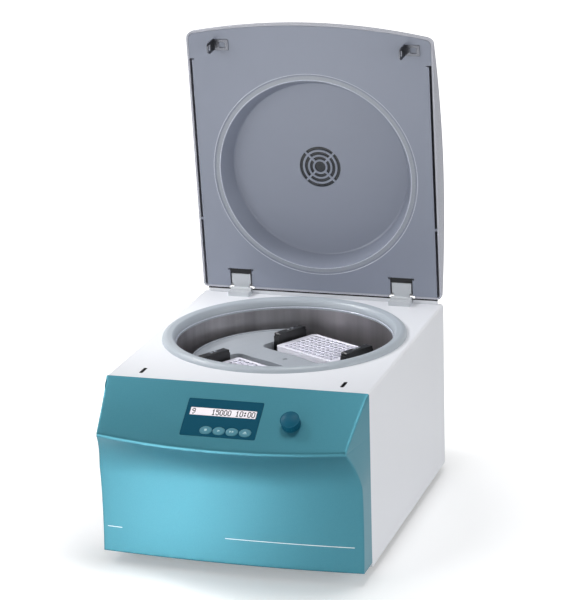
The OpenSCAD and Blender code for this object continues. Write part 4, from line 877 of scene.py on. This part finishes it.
# %% Recipe: cups on a grid
tree, given = recipe("cups_on_a_grid", columns=12, rows=8, pitch=9.0)
shape = add(tree, "GeometryNodeObjectInfo", {"Object": cup}).outputs["Geometry"]
known = formula(tree, {"columns": given["columns"], "rows": given["rows"], "pitch": given["pitch"]}, [
    ("c", "SUBTRACT", "columns", 1.0), ("r", "SUBTRACT", "rows", 1.0),
    ("wide", "MULTIPLY", "c", "pitch"), ("tall", "MULTIPLY", "r", "pitch")])
grid = add(tree, "GeometryNodeMeshGrid", {"Size X": known["wide"], "Size Y": known["tall"],
           "Vertices X": given["columns"], "Vertices Y": given["rows"]}).outputs["Mesh"]
cups = add(tree, "GeometryNodeInstanceOnPoints", {"Points": grid, "Instance": shape}).outputs[0]
real = add(tree, "GeometryNodeRealizeInstances", {"Geometry": cups}).outputs[0]
merged = add(tree, "GeometryNodeMergeByDistance", {"Geometry": real, "Distance": 0.01}).outputs[0]
finish_recipe(tree, merged, "clear_polystyrene")
print(len(tree.nodes), "nodes in the cups' recipe")

# %% Frame and skirt of a plate
def plate_outline(wide, tall, radius, cut):
    """A round-cornered rectangle with one corner cut off, which marks one end of the plate."""
    points = rounded_outline(wide, tall, radius, steps=6)
    if cut:
        corner = [(-wide / 2 + cut, tall / 2), (-wide / 2, tall / 2 - cut)]
        a, b = (np.array(p) for p in corner)
        points[7:14] = [tuple(a + (b - a) * i / 6) for i in range(7)]
    return points


def plate_frame():
    levels = [(108.1, 72.1, 0.3, -0.6, 0), (121.0, 78.7, 3.0, -0.6, 5), (121.4, 79.1, 3.2, 0, 5),
              (124.2, 81.9, 4.0, 0, 6), (124.56, 82.28, 4.0, -0.4, 6), (124.56, 82.28, 4.0, -11.7, 6),
              (127.4, 85.1, 3.0, -11.85, 0), (127.76, 85.48, 3.0, -12.2, 0), (127.76, 85.48, 3.0, -14.35, 0),
              (125.4, 83.1, 2.4, -14.35, 0), (122.2, 79.9, 2.8, -11.0, 4), (122.2, 79.9, 2.8, -1.6, 4),
              (108.1, 72.1, 0.3, -1.6, 0)]
    points, faces = [], []
    for wide, tall, radius, z, cut in levels:
        points += [(x, y, z) for x, y in plate_outline(wide, tall, radius, cut)]
    n = len(points) // len(levels)
    for k in range(len(levels)):
        m = (k + 1) % len(levels)
        faces += band(n, k * n, m * n)
    return points, faces


def close_and_join(name, field, frame_piece):
    """Joins the field of cups and its frame into one mesh, with the web's edge closed."""
    mesh = bmesh.new()
    mesh.from_mesh(field.data)
    rim = [e for e in mesh.edges if len(e.link_faces) == 1]
    bmesh.ops.bridge_loops(mesh, edges=rim)
    mesh.from_mesh(frame_piece.data)
    bmesh.ops.recalc_face_normals(mesh, faces=mesh.faces)
    mesh.to_mesh(field.data)
    mesh.free()
    bpy.data.objects.remove(frame_piece)
    field.name = name
    field.data.shade_smooth()
    field.data.set_sharp_from_angle(angle=math.radians(40))
    return field


PLATE_TOP = 236.0
for k in (1, 2):
    where = ON_TRAY[k] @ Matrix.Translation((0, 0, PLATE_TOP))
    field = grow(f"well_field_{k}", tree, where, columns=12, rows=8, pitch=9.0)
    plate = close_and_join(f"well_plate_{k}", field,
                           new_piece("plate_frame", *plate_frame(), where, "clear_polystyrene"))
    stand_for(plate, f"carrier_{k}", "clear_polystyrene", f"microplate_{k}")
bpy.data.objects.remove(cup)

# %% [markdown]
# ## Display, foil and keys
#
# The display is a 16-character liquid crystal module. Each character is a field of 5 by 7 dots,
# and a dot is a small dark square just above the pale face. It shows plain numbers: a programme
# number, a speed and a time. The dots are one recipe: a square set on each point.

# %% Characters of the display
GLYPHS = {
    "0": ("01110", "10001", "10001", "10001", "10001", "10001", "01110"),
    "1": ("00100", "01100", "00100", "00100", "00100", "00100", "01110"),
    "5": ("11111", "10000", "11110", "00001", "00001", "10001", "01110"),
    "9": ("01110", "10001", "10001", "01111", "00001", "00010", "01100"),
    ":": ("00000", "01100", "01100", "00000", "01100", "01100", "00000"),
}
DISPLAY_X, DISPLAY_S, WIDE = -6.5, 50.2, 99.0


def dot_places(text, z):
    first, step = DISPLAY_X - WIDE / 2 + 5.6, 5.92
    return [(first + step * i + (column - 2) * 0.98, -DISPLAY_S + (3 - row) * 1.36, z)
            for i, letter in enumerate(text) if letter in GLYPHS
            for row, bits in enumerate(GLYPHS[letter])
            for column, bit in enumerate(bits) if bit == "1"]


def printed(name, code, roughness=0.5):
    return new_material(name, Base_Color=linear(code), Roughness=roughness)[0]


finishes["display_ink"] = printed("dark_liquid_crystal", "1e1d27", 0.4)
finishes["key_ink"] = printed("pale_screen_print_ink", "a9c9ce", 0.5)
tree, given = recipe("dots_on_points", dot_width=1.3, dot_height=1.5, thickness=0.04)
size = add(tree, "ShaderNodeCombineXYZ",
           {0: given["dot_width"], 1: given["dot_height"], 2: given["thickness"]})
dot = add(tree, "GeometryNodeMeshCube", {"Size": size.outputs[0]}).outputs["Mesh"]
start = tree.interface.new_socket(name="Points", in_out="INPUT", socket_type="NodeSocketGeometry")
tree.interface.move(start, 1)
points_in = [n for n in tree.nodes if n.type == "GROUP_INPUT"][0].outputs["Points"]
dots = add(tree, "GeometryNodeInstanceOnPoints", {"Points": points_in, "Instance": dot}).outputs[0]
finish_recipe(tree, dots, "display_ink")
digits = grow("display_digits", tree, ON_SLOPE, dot_places("9    15000 10:00", -0.14), dot_width=1.3)
stand_for(digits, "chassis", "display_face")

# %% [markdown]
# The four keys are low domes embossed in the foil: each is an oval that rises softly to its
# middle, on the same stem as the CAD key, with a plain printed sign.

# %% Oval keys
def oval(wide, tall, steps=28):
    angles = [math.tau * i / steps for i in range(steps)]
    return [(wide / 2 * math.cos(a), tall / 2 * math.sin(a)) for a in angles]


def key_points():
    rings = [(18.0, 13.6, -0.1), (18.0, 13.6, 0.35), (17.4, 13.0, 0.62), (15.6, 11.2, 0.84),
             (11.0, 6.6, 1.02), (6.0, 1.6, 1.08)]
    points, faces = [], []
    for wide, tall, z in rings:
        points += [(x, y, z) for x, y in oval(wide, tall)]
    n = len(points) // len(rings)
    for k in range(len(rings) - 1):
        faces += band(n, k * n, k * n + n)
    faces.append(tuple(range((len(rings) - 1) * n, len(rings) * n)))
    # Stem below
    stem = len(points)
    for z in (-0.1, -15.5):
        points += [(4 * math.cos(math.tau * i / n), 4 * math.sin(math.tau * i / n), z) for i in range(n)]
    faces += [tuple(reversed(range(n))), tuple(range(stem, stem + n))]
    faces += [tuple(reversed(range(stem + n, stem + 2 * n)))] + band(n, stem + n, stem)
    return points, faces


def mark(name, outlines, where, body):
    """A flat printed mark, a few hundredths of a millimetre thick."""
    points, faces = [], []
    for outline in outlines:
        n, first = len(outline), len(points)
        points += [(x, y, z) for z in (0.0, 0.04) for x, y in outline]
        faces += [tuple(range(first + n, first + 2 * n)), tuple(reversed(range(first, first + n)))]
        faces += band(n, first, first + n)
    piece = new_piece(name, points, faces, where, "key_ink")
    return stand_for(piece, body, "key_face")


def square_at(x, y, w, h):
    return [(x + i * w / 2, y + j * h / 2) for i, j in ((-1, -1), (1, -1), (1, 1), (-1, 1))]


SIGNS = [
    [square_at(0, 0, 3.4, 3.4)],
    [[(-1.6, -2), (2.2, 0), (-1.6, 2)]],
    [[(-3.4, -1.8), (-0.2, 0), (-3.4, 1.8)], [(0.2, -1.8), (3.4, 0), (0.2, 1.8)]],
    [square_at(0, -1.7, 6, 0.9), [(-2.6, -0.6), (2.6, -0.6), (0, 2.2)]],
]
for k, x in enumerate(KEY_X, 1):
    where = ON_SLOPE @ Matrix.Translation((x, -81.5, 0))
    key = settle(new_piece(f"oval_key_{k}", *key_points(), where, "key_face"), 40)
    stand_for(key, f"button_{k}", "key_face", f"key_{k}")
    mark(f"key_sign_{k}", SIGNS[k - 1], where @ Matrix.Translation((0, 0, 1.1)), f"button_{k}")
